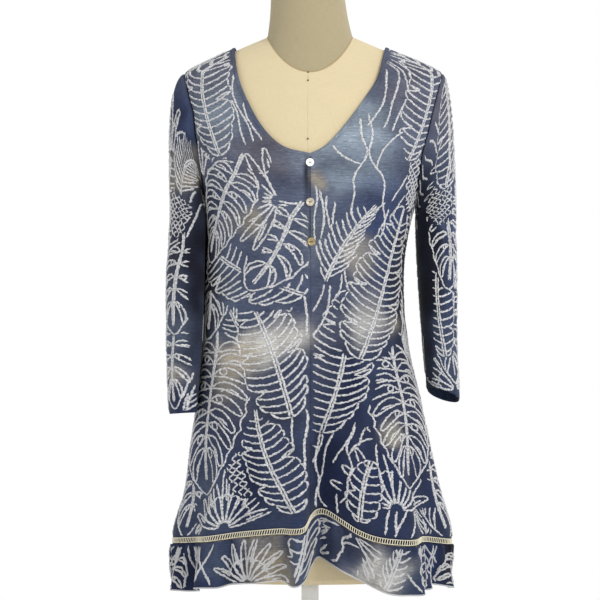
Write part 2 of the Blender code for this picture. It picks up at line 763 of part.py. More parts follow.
def build_buttons(materials, collection):
    """Three shell buttons, on the centre-front seam."""
    profile = (
        (BUTTON_RADIUS - BUTTON_EDGE, 0.0),
        (BUTTON_RADIUS, BUTTON_EDGE),
        (BUTTON_RADIUS, BUTTON_THICKNESS - BUTTON_EDGE),
        (BUTTON_RADIUS - BUTTON_EDGE, BUTTON_THICKNESS),
    )
    for button in BUTTONS:
        base, up, outward = button_seat(button)
        points = []
        for radius, height in profile:
            for i in range(BUTTON_SIDES):
                turn = 2 * math.pi * i / BUTTON_SIDES
                side = Vector((1.0, 0.0, 0.0)) * (radius * math.cos(turn))
                rise = up * (radius * math.sin(turn))
                points.append(base + side + rise + outward * height)
        faces = []
        for ring in range(len(profile) - 1):
            for i in range(BUTTON_SIDES):
                j = (i + 1) % BUTTON_SIDES
                low = ring * BUTTON_SIDES
                high = low + BUTTON_SIDES
                faces.append((low + i, low + j, high + j, high + i))
        last = (len(profile) - 1) * BUTTON_SIDES
        faces.append(tuple(range(BUTTON_SIDES - 1, -1, -1)))
        faces.append(tuple(last + i for i in range(BUTTON_SIDES)))
        add_object(button.name, points, faces, materials["shell"], collection)


def neck_seam(turn):
    """Angle and height of the dress form's neck seam, on the form's surface."""
    lowest = NECK_SEAM_FRONT if math.cos(turn) > 0 else NECK_SEAM_BACK
    bend = abs(math.cos(turn)) ** NECK_SEAM_ROUND
    height = mix(NECK_SEAM_SIDE, lowest, bend)
    x = NECK_SEAM_WIDTH * abs(math.sin(turn))
    side = "right" if math.sin(turn) > 0 else "left"
    angle = angle_at(FORM_SECTIONS, side, x, min(height, NECK_SEAM_SIDE))
    if abs(x - NECK_SEAM_WIDTH) < 1e-6:
        angle = math.pi / 2
    if math.cos(turn) < 0:
        angle = math.pi - angle
    return math.copysign(angle, math.sin(turn)), height


def closed_tube(name, grid, material, collection):
    """Add a closed solid from rings of points, highest ring first, with a fan on each end."""
    count = len(grid[0])
    points = [point for line in grid for point in line]
    faces = grid_faces(len(grid), count, closed=True)
    last = (len(grid) - 1) * count
    top = sum(grid[0], Vector()) / count
    bottom = sum(grid[-1], Vector()) / count
    points.extend((top, bottom))
    for i in range(count):
        j = (i + 1) % count
        faces.append((i, j, len(points) - 2))
        faces.append((last + j, last + i, len(points) - 1))
    return add_object(name, points, faces, material, collection)


def build_form(materials, collection):
    """Dress form's torso, its neck and the cap on the neck."""
    turns = [-math.pi + 2 * math.pi * i / FORM_COLUMNS for i in range(FORM_COLUMNS)]
    lowest = FORM_SECTIONS[0].height
    grid = []
    seam = [neck_seam(turn) for turn in turns]
    for row in range(FORM_SHOULDER_ROWS):
        t = 1 - row / FORM_SHOULDER_ROWS
        line = []
        for turn, (angle, height) in zip(turns, seam):
            mixed = mix(turn, angle, ease(t))
            level = mix(FORM_SHOULDER_START, height, t)
            line.append(ring_point(FORM_SECTIONS, mixed, level))
        grid.append(line)
    for row in range(FORM_ROWS + 1):
        height = mix(FORM_SHOULDER_START, lowest, row / FORM_ROWS)
        grid.append([ring_point(FORM_SECTIONS, turn, height) for turn in turns])
    closed_tube("dress_form", grid, materials["linen"], collection)
    top = []
    for turn in turns:
        x = NECK_LEAN + NECK_TOP_WIDTH * math.sin(turn)
        y = -NECK_TOP_DEPTH * math.cos(turn)
        top.append(Vector((x, y, NECK_TOP_HEIGHT)))
    foot = [point + Vector((0.0, 0.0, SEAM_GAP)) for point in grid[0]]
    neck = []
    for row in range(NECK_ROWS + 1):
        t = row / NECK_ROWS
        neck.append([a.lerp(b, t) for a, b in zip(top, foot)])
    closed_tube("form_neck", neck, materials["neck_cover"], collection)
    cap = []
    rims = (
        (NECK_CAP_THICKNESS, NECK_CAP_EDGE),
        (NECK_CAP_THICKNESS - NECK_CAP_EDGE, 0.0),
        (0.0, 0.0),
    )
    for rise, inset in rims:
        lift = Vector((0.0, 0.0, SEAM_GAP + rise))
        shrink = 1 - inset / NECK_TOP_WIDTH
        middle = Vector((NECK_LEAN, 0.0, NECK_TOP_HEIGHT))
        cap.append([middle + (point - middle) * shrink + lift for point in top])
    closed_tube("neck_cap", cap, materials["linen"], collection)


def build_stand(materials, collection):
    """Pole under the dress form, and the round base that it stands on."""
    bpy.ops.mesh.primitive_cylinder_add(vertices=2 * ROUND_SIDES, radius=BASE_RADIUS,
                                        depth=BASE_THICKNESS,
                                        location=(0.0, 0.0, BASE_THICKNESS / 2))
    base = bpy.context.object
    base.name = "stand_base"
    edge = base.modifiers.new("rounded rim", "BEVEL")
    edge.width = BASE_BEVEL
    edge.segments = 2
    edge.limit_method = "ANGLE"
    low = BASE_THICKNESS + SEAM_GAP
    high = FORM_SECTIONS[0].height - SEAM_GAP
    bpy.ops.mesh.primitive_cylinder_add(vertices=ROUND_SIDES, radius=POLE_RADIUS,
                                        depth=high - low, location=(0.0, 0.0, (low + high) / 2))
    pole = bpy.context.object
    pole.name = "stand_pole"
    for item in (base, pole):
        item.data.name = item.name
        item.data.materials.append(materials["stand"])
        for owner in list(item.users_collection):
            owner.objects.unlink(item)
        collection.objects.link(item)


def main():
    """Build the whole part."""
    clear_scene()
    collection = make_collection()
    materials = {
        "cloth": make_material("slate blue knit", (0.10, 0.15, 0.30), 0.85),
        "trim": make_material("cream trim", (0.72, 0.68, 0.58), 0.80),
        "shell": make_material("shell button", (0.82, 0.78, 0.70), 0.25),
        "linen": make_material("form linen", (0.78, 0.68, 0.48), 0.90),
        "neck_cover": make_material("neck cover", (0.48, 0.44, 0.34), 0.90),
        "stand": make_material("white stand", (0.86, 0.86, 0.85), 0.40),
    }
    build_form(materials, collection)
    build_stand(materials, collection)
    build_fronts(materials, collection)
    build_back(materials, collection)
    build_sleeves(materials, collection)
    build_neck_band(materials, collection)
    build_ladder(materials, collection)
    build_ruffles(materials, collection)
    build_buttons(materials, collection)


main()
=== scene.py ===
"""Looks of a knit tunic top worn by a limbless dress form on a pole and a round base.

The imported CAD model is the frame, and every piece here lies on its surfaces. The body of the
tunic is one surface: a point on it has an angle round the body (0 at the centre front, 90
degrees at the side seam on the +X side, 180 at the centre back) and a height. The panels, the
raised leaf lines, the ladder trim and the ruffle are all worked out on that surface.
Units are metres, and the front of the tunic faces -Y.
"""
import math
from collections import namedtuple

import bpy
import numpy as np
from bpy.props import FloatProperty, FloatVectorProperty, IntProperty, PointerProperty
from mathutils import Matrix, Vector


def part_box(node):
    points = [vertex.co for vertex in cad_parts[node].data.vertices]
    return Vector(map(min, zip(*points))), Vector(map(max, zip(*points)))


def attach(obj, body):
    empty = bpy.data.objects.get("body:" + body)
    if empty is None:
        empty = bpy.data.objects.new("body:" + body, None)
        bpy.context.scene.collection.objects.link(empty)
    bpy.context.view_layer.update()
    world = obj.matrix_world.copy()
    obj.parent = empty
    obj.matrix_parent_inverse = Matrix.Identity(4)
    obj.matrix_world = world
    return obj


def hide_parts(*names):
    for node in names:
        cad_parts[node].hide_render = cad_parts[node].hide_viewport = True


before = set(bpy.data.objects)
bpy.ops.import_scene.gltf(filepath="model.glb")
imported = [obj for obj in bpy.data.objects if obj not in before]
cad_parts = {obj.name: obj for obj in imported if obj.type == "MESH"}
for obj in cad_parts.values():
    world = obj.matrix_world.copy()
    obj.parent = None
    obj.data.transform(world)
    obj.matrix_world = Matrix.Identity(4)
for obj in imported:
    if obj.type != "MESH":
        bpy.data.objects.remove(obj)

STARTUP_OBJECTS = ("Cube", "Light", "Camera")
for startup_name in STARTUP_OBJECTS:
    if startup_name in bpy.data.objects:
        bpy.data.objects.remove(bpy.data.objects[startup_name], do_unlink=True)
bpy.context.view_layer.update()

bl_info = {
    "name": "Knit tunic on a dress form",
    "version": (1, 0, 0),
    "blender": (4, 5, 0),
    "location": "3D View > Sidebar > Tunic",
    "description": "Builds a slub-knit tunic with raised leaf lines, its dress form and a studio",
    "category": "Add Mesh",
}

DIRECTION = {"left": -1, "right": 1}


def read_rows(columns, table):
    """Rows of a table, each read by the names of its columns."""
    row = namedtuple("Row", columns)
    return [row(*values) for values in table]


def read_tables(columns, parts):
    """Tables of several parts, with the same columns."""
    return {part: read_rows(columns, table) for part, table in parts.items()}


# Cross-sections of the cloth and of the dress form: at each height, how far the left, right,
# front and back reach from the middle, and how much fuller than an ellipse the section is
SECTION = "height left right front back fullness"
CLOTH_SECTIONS = read_rows(SECTION, [
    (0.58, 0.185, 0.192, 0.166, 0.176, 0.12), (0.64, 0.192, 0.195, 0.159, 0.169, 0.12),
    (0.7, 0.194, 0.2, 0.15, 0.16, 0.12), (0.76, 0.1775, 0.1845, 0.141, 0.153, 0.12),
    (0.82, 0.1708, 0.172, 0.133, 0.145, 0.12), (0.88, 0.1635, 0.161, 0.126, 0.133, 0.12),
    (0.94, 0.158, 0.1475, 0.12, 0.119, 0.12), (1.0, 0.1545, 0.1385, 0.117, 0.107, 0.12),
    (1.05, 0.1535, 0.1355, 0.118, 0.1005, 0.12), (1.1, 0.152, 0.1375, 0.122, 0.1, 0.12),
    (1.16, 0.152, 0.1485, 0.13, 0.105, 0.12), (1.22, 0.164, 0.166, 0.123, 0.111, 0.12),
    (1.28, 0.177, 0.183, 0.108, 0.112, 0.07), (1.33, 0.1845, 0.194, 0.09, 0.105, -0.03),
    (1.35, 0.185, 0.1955, 0.0795, 0.0965, -0.1), (1.363, 0.182, 0.192, 0.073, 0.0895, -0.15),
    (1.379, 0.153, 0.1625, 0.0665, 0.079, -0.22), (1.398, 0.1135, 0.1165, 0.061, 0.071, -0.28),
    (1.4115, 0.08, 0.0815, 0.0585, 0.0665, -0.3),
])
FORM_SECTIONS = read_rows(SECTION, [
    (0.635, 0.159, 0.159, 0.0985, 0.109, 0.12), (0.7, 0.167, 0.167, 0.104, 0.12, 0.12),
    (0.76, 0.169, 0.169, 0.108, 0.128, 0.12), (0.82, 0.164, 0.164, 0.108, 0.126, 0.12),
    (0.88, 0.15, 0.15, 0.102, 0.112, 0.12), (0.94, 0.132, 0.132, 0.096, 0.094, 0.12),
    (1.0, 0.1205, 0.1205, 0.093, 0.08, 0.12), (1.05, 0.1235, 0.1235, 0.099, 0.08, 0.12),
    (1.1, 0.132, 0.132, 0.112, 0.087, 0.12), (1.16, 0.143, 0.143, 0.125, 0.1, 0.12),
    (1.22, 0.1565, 0.1565, 0.1185, 0.1065, 0.12), (1.28, 0.17, 0.172, 0.1035, 0.1075, 0.07),
    (1.33, 0.178, 0.185, 0.0845, 0.0995, -0.03), (1.35, 0.175, 0.183, 0.073, 0.09, -0.1),
    (1.363, 0.168, 0.178, 0.0665, 0.0825, -0.15), (1.379, 0.143, 0.1515, 0.0605, 0.0725, -0.22),
    (1.398, 0.102, 0.103, 0.056, 0.0628, -0.28), (1.4115, 0.07, 0.071, 0.053, 0.0605, -0.3),
    (1.415, 0.0615, 0.0615, 0.0525, 0.0595, -0.3),
])
BUST_X = 0.085
BUST_HEIGHT = 1.155
BUST_WIDTH = 0.048
BUST_OUT = 0.009

# Folds at the hem: at each angle, how far the cloth stands out and how high the hem lifts
HEM_HEIGHT = 0.700
FOLD_TOP = 0.985
HEM_FOLDS = read_rows("angle out lift", [
    (-180, 0.01, 0.002), (-168, -0.009, 0.0), (-154, 0.011, -0.003), (-139, -0.008, -0.001),
    (-122, 0.01, -0.006), (-106, -0.005, -0.008), (-90, 0.002, -0.009), (-74, 0.005, -0.004),
    (-57, -0.008, 0.001), (-43, 0.005, 0.006), (-31, -0.005, 0.012), (-20, 0.003, 0.017),
    (-11, 0.004, 0.02), (-5, 0.018, 0.021), (-2, 0.012, 0.024), (0, -0.015, 0.036),
    (3, -0.034, 0.043), (7, -0.032, 0.042), (13, -0.02, 0.029), (18, -0.01, 0.017),
    (24, 0.001, 0.008), (31, 0.01, 0.004), (40, 0.012, 0.002), (50, -0.006, 0.003),
    (58, -0.008, 0.001), (72, 0.006, -0.005), (90, 0.002, -0.009), (105, -0.007, -0.008),
    (120, 0.009, -0.005), (137, -0.009, -0.002), (152, 0.01, -0.003), (166, -0.008, 0.0),
    (180, 0.01, 0.002),
])

# Soft creases in the body: where the middle is, how it leans from upright, its
# length and width, and how far it stands out
CREASE = "angle height lean length width out"
BODY_CREASES = read_rows(CREASE, [
    (-62, 1.205, 52, 0.085, 0.0075, -0.0022), (-55, 1.18, 58, 0.07, 0.0065, 0.0018),
    (-70, 1.13, 30, 0.1, 0.0085, -0.002), (-36, 1.06, -24, 0.12, 0.011, -0.0016),
    (-63, 1.02, 14, 0.15, 0.009, 0.002), (-48, 0.88, 4, 0.21, 0.0105, -0.0026),
    (-26, 0.84, 3, 0.19, 0.0095, -0.0022), (-14, 0.8, -3, 0.18, 0.008, 0.0022),
    (-34, 0.77, -2, 0.12, 0.007, 0.0018), (61, 1.215, -50, 0.08, 0.0075, -0.0022),
    (54, 1.185, -58, 0.075, 0.0065, 0.0016), (68, 1.12, -24, 0.09, 0.0085, -0.002),
    (30, 1.05, 20, 0.11, 0.011, -0.0015), (58, 1.01, -12, 0.14, 0.009, 0.002),
    (22, 0.86, -5, 0.2, 0.009, -0.0024), (36, 0.82, -8, 0.17, 0.0095, 0.0024),
    (47, 0.86, -6, 0.18, 0.01, -0.0026), (64, 0.83, -4, 0.16, 0.009, 0.0022),
    (118, 1.22, 46, 0.08, 0.008, -0.0022), (126, 1.06, -16, 0.13, 0.01, -0.002),
    (150, 1.01, 12, 0.12, 0.011, 0.0018), (144, 0.87, 4, 0.2, 0.01, -0.0026),
    (172, 0.93, -3, 0.19, 0.011, -0.0018), (196, 0.85, 5, 0.19, 0.0095, 0.0024),
    (214, 1.04, 18, 0.13, 0.01, -0.002), (222, 0.86, -5, 0.2, 0.01, -0.0026),
    (240, 1.215, -46, 0.085, 0.008, -0.0022), (236, 0.82, 3, 0.14, 0.008, 0.002),
])

# Neckline and armholes: at each height, how far the left and right sides are from the middle
SEAM = "height left right"
NECK_FRONT = read_rows(SEAM, [
    (1.398, 0.1135, 0.1145), (1.3836, 0.1133, 0.1105), (1.3475, 0.1066, 0.1002),
    (1.315, 0.0944, 0.0805), (1.2725, 0.0705, 0.049), (1.245, 0.041, 0.0225),
    (1.2335, 0.0, 0.0),
])
NECK_BACK = read_rows(SEAM, [
    (1.398, 0.1135, 0.1145), (1.389, 0.108, 0.1095), (1.3785, 0.085, 0.085),
    (1.371, 0.045, 0.045), (1.369, 0.0, 0.0),
])
ARMHOLE_FRONT = read_rows(SEAM, [
    (1.363, 0.182, 0.192), (1.332, 0.1755, 0.1836), (1.302, 0.1675, 0.1755),
    (1.27, 0.1638, 0.1676), (1.243, 0.159, 0.16), (1.21, 0.155, 0.1555),
    (1.173, 0.153, 0.152),
])
ARMHOLE_BACK = read_rows(SEAM, [
    (1.363, 0.182, 0.192), (1.332, 0.179, 0.188), (1.302, 0.1735, 0.181),
    (1.27, 0.1675, 0.173), (1.243, 0.1615, 0.164), (1.21, 0.156, 0.1575),
    (1.173, 0.153, 0.152),
])
FRONT_NECK_SHARE = 0.30
BACK_NECK_SHARE = 0.20
ARMHOLE_SHARE = 1 / 3
COLUMN_CROWDING = 1.35
SHOULDER_CLOSING = 0.009
PLACKET_END = 1.098
BAND_WALL = 0.0009

# How far edges roll in at the seams, and over what width
SIDE_ROLL = (0.0011, 0.0022)
SHOULDER_ROLL = (0.0010, 0.0022)
HEM_ROLL = (0.0006, 0.0020)
CUFF_SEAM_ROLL = (0.0005, 0.0016)
CUFF_ROLL = (0.0008, 0.0022)
CAP_ROLL = (0.0012, 0.0040)

# Section of the neck edge: how far in from the seam, and how far out from the cloth
BAND_PROFILE = ((-0.0008, -0.0004), (0.0004, 0.0004), (0.0016, 0.0007), (0.0034, 0.0006),
                (0.0048, 0.0003), (0.0056, -0.0002), (0.0058, -0.0009))

# Sleeves: at each height, how far out the two sides lie, and the front and the back
SLEEVE_RINGS = read_tables("height outer inner front back", {
    "right": [
        (0.88, 0.217, 0.1705, 0.056, 0.038), (0.905, 0.216, 0.1695, 0.056, 0.038),
        (0.962, 0.2125, 0.1645, 0.058, 0.04), (1.035, 0.2125, 0.159, 0.059, 0.044),
        (1.09, 0.212, 0.1555, 0.059, 0.049), (1.15, 0.211, 0.1535, 0.058, 0.053),
    ],
    "left": [
        (0.865, 0.203, 0.1675, 0.078, 0.014), (0.905, 0.205, 0.1645, 0.079, 0.015),
        (0.962, 0.207, 0.1595, 0.08, 0.019), (1.035, 0.2075, 0.156, 0.079, 0.025),
        (1.09, 0.2065, 0.1548, 0.073, 0.035), (1.15, 0.202, 0.1545, 0.062, 0.05),
    ],
})
SleeveEnd = namedtuple("SleeveEnd", "height tilt run_out lean")
SLEEVE_ENDS = {
    "left": SleeveEnd(0.8725, 0.002, 0.42, 0.014),
    "right": SleeveEnd(0.8970, 0.0085, 0.22, 0.0),
}
SLEEVE_TOP = 1.150
SHOULDER_TIP = 1.363
LONG_FOLD = 0.0045
LONG_FOLDS = ((62, 0.26), (290, 0.30))
LONG_FOLD_TOP = 1.24
LONG_FOLD_FADE = 0.10
SLEEVE_FULLNESS = 0.12
CAP_RUN_DOWN = 0.18
SLEEVE_GIRTH = 1.01
CUFF_HEM = 0.0190
SLEEVE_TURNS = 101
SLEEVE_ROWS = 140
SLEEVE_CREASES = read_tables(CREASE, {
    "left": [
        (72, 1.2, 4, 0.23, 0.0065, -0.003), (38, 1.24, -6, 0.17, 0.006, -0.0024),
        (104, 1.06, -5, 0.26, 0.0075, -0.003), (54, 1.02, 9, 0.15, 0.007, 0.0022),
        (86, 0.96, -12, 0.12, 0.007, 0.002), (20, 1.11, 24, 0.08, 0.006, -0.002),
        (30, 0.93, -26, 0.07, 0.0055, -0.0018), (-40, 1.1, 8, 0.2, 0.008, -0.0024),
        (-75, 1.02, -14, 0.14, 0.008, -0.002),
    ],
    "right": [
        (64, 1.16, -3, 0.26, 0.0065, -0.003), (36, 1.04, -2, 0.28, 0.006, -0.0028),
        (92, 1.08, 6, 0.2, 0.0075, -0.0024), (48, 1.23, 14, 0.1, 0.0065, 0.002),
        (75, 0.96, 16, 0.1, 0.007, 0.002), (15, 1.12, -28, 0.08, 0.006, -0.002),
        (-42, 1.08, -9, 0.19, 0.008, -0.0024), (-70, 0.99, 12, 0.13, 0.008, -0.002),
    ],
})

# Ladder trim and ruffle: at each angle, how far the ruffle swings out and drops lower
LADDER_HEIGHT = 0.008
RUNG_LEAN = 0.0008
RUNG_RADII = 0.00080 * np.array((1.0, 0.88, 0.84, 0.88, 1.0))
RUFFLE_GAP = 0.0013
RUFFLE_DROP = 0.060
RUFFLE_FLARE = 0.007
RUFFLE_SWING = 0.75
RUFFLE_CURL = 0.0025
RUFFLE_CURLS = 17.0
RUFFLE_SHAPE = (24, 480)
PUCKER = 0.0012
PUCKER_PITCH = 0.0086
GATHER = 0.0030
GATHER_PITCH = 0.0235
LADDER_COLUMNS = 420
# Painted shade in the ladder's slots: how far behind the trim the dark strip lies, and its wall
SHADE_STRIP_DEPTH = 0.0030
SHADE_STRIP_WALL = 0.0007
HEM_RADIUS = 0.172
RUFFLE_WAVES = read_tables("angle out drop", {
    "front": [
        (-90, 0.0, -0.002), (-79, -0.006, 0.002), (-67, 0.01, 0.004), (-57, -0.009, 0.006),
        (-46, 0.012, 0.0), (-38, -0.005, 0.003), (-30, 0.009, 0.0), (-23, -0.004, 0.002),
        (-16, 0.006, 0.001), (-10, -0.003, 0.001), (-5, 0.016, 0.006), (-1, 0.0, 0.002),
        (3, -0.014, -0.002), (7, -0.003, 0.002), (12, 0.01, 0.002), (20, -0.009, -0.002),
        (27, 0.013, 0.004), (35, 0.004, 0.005), (42, 0.014, 0.004), (49, -0.003, 0.004),
        (54, 0.011, 0.002), (61, -0.012, -0.004), (69, 0.007, -0.002), (79, -0.007, 0.0),
        (90, 0.0, -0.002),
    ],
    "back": [
        (90, 0.0, -0.002), (101, -0.007, 0.002), (111, 0.009, 0.003), (120, -0.008, 0.0),
        (129, 0.01, 0.002), (139, -0.009, 0.003), (148, 0.014, 0.001), (157, -0.005, 0.0),
        (166, 0.01, 0.002), (174, -0.008, 0.003), (183, 0.013, 0.001), (192, -0.006, 0.002),
        (202, 0.011, 0.0), (211, -0.009, 0.002), (221, 0.012, 0.003), (230, -0.006, 0.001),
        (240, 0.01, 0.002), (250, -0.009, 0.003), (260, 0.006, 0.001), (270, 0.0, -0.002),
    ],
})

# Buttons: the height of each, and how gold the painted reflection in its shell is
BUTTON_RADIUS = 0.0058
BUTTON_THICKNESS = 0.0022
HOLE_RADIUS = 0.00075
HOLE_REACH = 0.0014
STRAND_RADIUS = 0.00022
BUTTONS = read_rows("name height warmth", [
    ("button_top", 1.2258, 0.0),
    ("button_middle", 1.1705, 0.7),
    ("button_bottom", 1.116, 1.0),
])

# Dress form's neck, and the stand
NECK_SEAM_WIDTH = 0.0615
NECK_SEAM_SIDE = 1.4150
NECK_SEAM_FRONT = 1.3580
NECK_SEAM_BACK = 1.4240
NECK_SEAM_ROUND = 1.6
NECK_TOP_HEIGHT = 1.4700
NECK_TOP_WIDTH = 0.0537
NECK_TOP_DEPTH = 0.0520
NECK_LEAN = -0.003
NECK_CAP_THICKNESS = 0.012
NECK_CAP_EDGE = 0.003
NECK_PINCH = 0.018
NECK_ROWS = 20
FORM_SHOULDER_START = 1.330
FORM_BOTTOM = FORM_SECTIONS[0].height
FORM_TURNS = 121
SHOULDER_ROWS = 26
TORSO_ROWS = 90
FORM_GAP = 0.0004
POLE_RADIUS = 0.0125
BASE_RADIUS = 0.220
BASE_THICKNESS = 0.016
BASE_RIM = 0.004
COLLAR = ((0.006, 0.0), (0.006, 0.010), (0.004, 0.014), (0.0, 0.015))
NECK_THREAD_RADIUS = 0.0009
CENTRE_THREAD_RADIUS = 0.00027
PIN_RADIUS = 0.0015
PIN_HEIGHTS = (1.3575, 1.3450, 1.2600, 0.6620)
CENTRE_ANGLE = -0.020

# Studio: the lights' places, sizes in metres and power in watts, and the camera
FLOOR_RADIUS = 3.4
LIGHTS = read_rows("name place size power", [
    ("key", (1.7, -2.1, 2.5), 1.3, 58.0),
    ("fill", (-2.3, -1.5, 1.4), 1.6, 11.0),
    ("rear", (2.2, 2.6, 2.6), 1.4, 34.0),
])
LIGHT_AIM = (0.0, 0.0, 1.05)
CAMERA_PLACE = (-0.0145, -3.0, 1.0346)
CAMERA_SENSOR = 36.0
FRAME_WIDTH = 0.87


def ease(t):
    """Smooth step from 0 to 1."""
    t = np.clip(t, 0.0, 1.0)
    return t * t * (3 - 2 * t)


def mix(start, end, t):
    """Value part of the way from start to end."""
    return start + (end - start) * t


def unit(vectors):
    """Vectors with the same directions and of length 1."""
    return vectors / np.maximum(np.linalg.norm(vectors, axis=-1, keepdims=True), 1e-12)


def pairs(x, y):
    """Points in a plane, from their two coordinates."""
    return np.stack((x, y), axis=1)


def distances(points):
    """How far along a line each of its points is."""
    steps = np.linalg.norm(np.diff(points, axis=0), axis=1)
    return np.concatenate(([0.0], np.cumsum(steps)))


class Curve:
    """Smooth curve through one column of a table, read at many places at once."""

    def __init__(self, table, column):
        self.places = np.array([row[0] for row in table], float)
        self.values = np.array([getattr(row, column) for row in table], float)
        index = np.arange(len(table))
        low = np.maximum(index - 1, 0)
        high = np.minimum(index + 1, len(table) - 1)
        rise = self.values[high] - self.values[low]
        self.slopes = rise / (self.places[high] - self.places[low])

    def __call__(self, place):
        place = np.clip(place, self.places[0], self.places[-1])
        index = np.clip(np.searchsorted(self.places, place) - 1, 0, len(self.places) - 2)
        span = self.places[index + 1] - self.places[index]
        t = (place - self.places[index]) / span
        start = self.values[index]
        end = self.values[index + 1]
        leave = self.slopes[index] * span
        arrive = self.slopes[index + 1] * span
        across = start * (1 + 2 * t) * (1 - t) ** 2 + end * t * t * (3 - 2 * t)
        return across + leave * t * (1 - t) ** 2 + arrive * t * t * (t - 1)


class Cloud:
    """Soft noise from a few slow waves: about -1 to 1, the same on every run."""

    def __init__(self, size, seed, waves=7):
        random = np.random.RandomState(seed)
        turns = random.normal(size=(waves, 3))
        turns /= np.linalg.norm(turns, axis=1)[:, None]
        self.turns = turns * (2 * math.pi / size * random.uniform(0.6, 1.7, (waves, 1)))
        self.shifts = random.uniform(0, 2 * math.pi, waves)

    def __call__(self, points):
        waves = np.sin(points @ self.turns.T + self.shifts)
        return waves.sum(axis=-1) / math.sqrt(len(self.shifts))


def bust(x, height):
    """How far the bust fills the front."""
    sideways = (np.abs(x) - BUST_X) / BUST_WIDTH
    upwards = (height - BUST_HEIGHT) / BUST_WIDTH
    return BUST_OUT * np.exp(-sideways ** 2 - upwards ** 2)


class Rings:
    """Surface through the rings of a table of sections."""

    def __init__(self, sections):
        for column in ("left", "right", "front", "back", "fullness"):
            setattr(self, column, Curve(sections, column))

    def radius(self, height):
        """Mean radius of a ring, which turns an angle into a distance on the cloth."""
        sides = self.left(height) + self.right(height) + self.front(height) + self.back(height)
        return sides / 4 * (1 + self.fullness(height) / 4)

    def __call__(self, angle, height, out=0.0):
        across = np.sin(angle)
        along = np.cos(angle)
        width = np.where(across > 0, self.right(height), self.left(height))
        depth = np.where(along > 0, self.front(height), self.back(height))
        fullness = self.fullness(height)
        x = width * across * (1 + fullness * along ** 2)
        y = -depth * along * (1 + fullness * across ** 2)
        y = y - np.where(along > 0, bust(x, height), 0.0)
        outward_x = across / width
        outward_y = -along / depth
        length = np.hypot(outward_x, outward_y)
        x = x + outward_x / length * out
        y = y + outward_y / length * out
        return np.stack(np.broadcast_arrays(x, y, height), axis=-1)


CLOTH = Rings(CLOTH_SECTIONS)
FORM = Rings(FORM_SECTIONS)
FOLD_OUT = Curve(HEM_FOLDS, "out")
FOLD_LIFT = Curve(HEM_FOLDS, "lift")


def wrapped_degrees(angle):
    """Angle in degrees, from -180 to 180."""
    return (np.degrees(angle) + 180.0) % 360.0 - 180.0


def crease_sum(creases, degrees, height, radius):
    """How far the listed creases move the cloth out, at angles in degrees and heights."""
    total = np.zeros(np.broadcast(degrees, height).shape)
    for crease in creases:
        around = (degrees - crease.angle + 180.0) % 360.0 - 180.0
        sideways = np.radians(around) * radius
        upwards = height - crease.height
        lean = math.radians(crease.lean)
        across = sideways * math.cos(lean) - upwards * math.sin(lean)
        along = sideways * math.sin(lean) + upwards * math.cos(lean)
        profile = np.exp(-(across / crease.width) ** 2 - (along / (crease.length / 2)) ** 4)
        total = total + crease.out * profile
    return total


def body(angle, height, out=0.0):
    """Points on the outside of the tunic's body, with its folds and creases."""
    growth = ease((FOLD_TOP - height) / (FOLD_TOP - HEM_HEIGHT))
    degrees = wrapped_degrees(angle)
    fold = growth * FOLD_OUT(degrees)
    crease = crease_sum(BODY_CREASES, degrees, height, CLOTH.radius(height))
    return CLOTH(angle, height, fold + crease + out)


def hem_height(angle):
    """Height of the body's lower edge at an angle."""
    return HEM_HEIGHT + FOLD_LIFT(wrapped_degrees(angle))


def normals(surface, a, b, sign=1.0):
    """Outward directions of a surface of two numbers, from points close by."""
    step = 0.0004
    along_a = surface(a + step, b) - surface(a - step, b)
    along_b = surface(a, b + step) - surface(a, b - step)
    return unit(np.cross(along_a, along_b) * sign)


def angle_at(rings, side, x, height):
    """Angles from the centre, up to 90 degrees, at which a side of a ring is this wide."""
    width = getattr(rings, side)(height)
    fullness = rings.fullness(height)
    low = np.zeros(np.shape(height))
    high = np.full(np.shape(height), math.pi / 2)
    for _ in range(40):
        middle = (low + high) / 2
        reach = width * np.sin(middle) * (1 + fullness * np.cos(middle) ** 2)
        low = np.where(reach < x, middle, low)
        high = np.where(reach < x, high, middle)
    return low


class SeamLine:
    """A seam on the body, from its first point to its last, read by its share of the length."""

    def __init__(self, points, side, back):
        Knot = namedtuple("Knot", "place x height")
        place = 0.0
        knots = []
        for index, point in enumerate(points):
            x = getattr(point, side)
            if index:
                place += math.hypot(x - knots[-1].x, point.height - knots[-1].height)
            knots.append(Knot(place, x, point.height))
        spots = np.linspace(0.0, place, 400)
        self.heights = Curve(knots, "height")(spots)
        self.angles = angle_at(CLOTH, side, Curve(knots, "x")(spots), self.heights)
        turned = DIRECTION[side] * (math.pi - self.angles if back else self.angles)
        lengths = distances(body(turned, self.heights))
        self.lengths = lengths / lengths[-1]

    def at(self, share):
        """Angle from the centre and height at a share of the length."""
        angle = np.interp(share, self.lengths, self.angles)
        return angle, np.interp(share, self.lengths, self.heights)

    def angle_for(self, height):
        """Angle of the seam at a height, for heights that it passes."""
        order = np.argsort(self.heights)
        return np.interp(height, self.heights[order], self.angles[order])


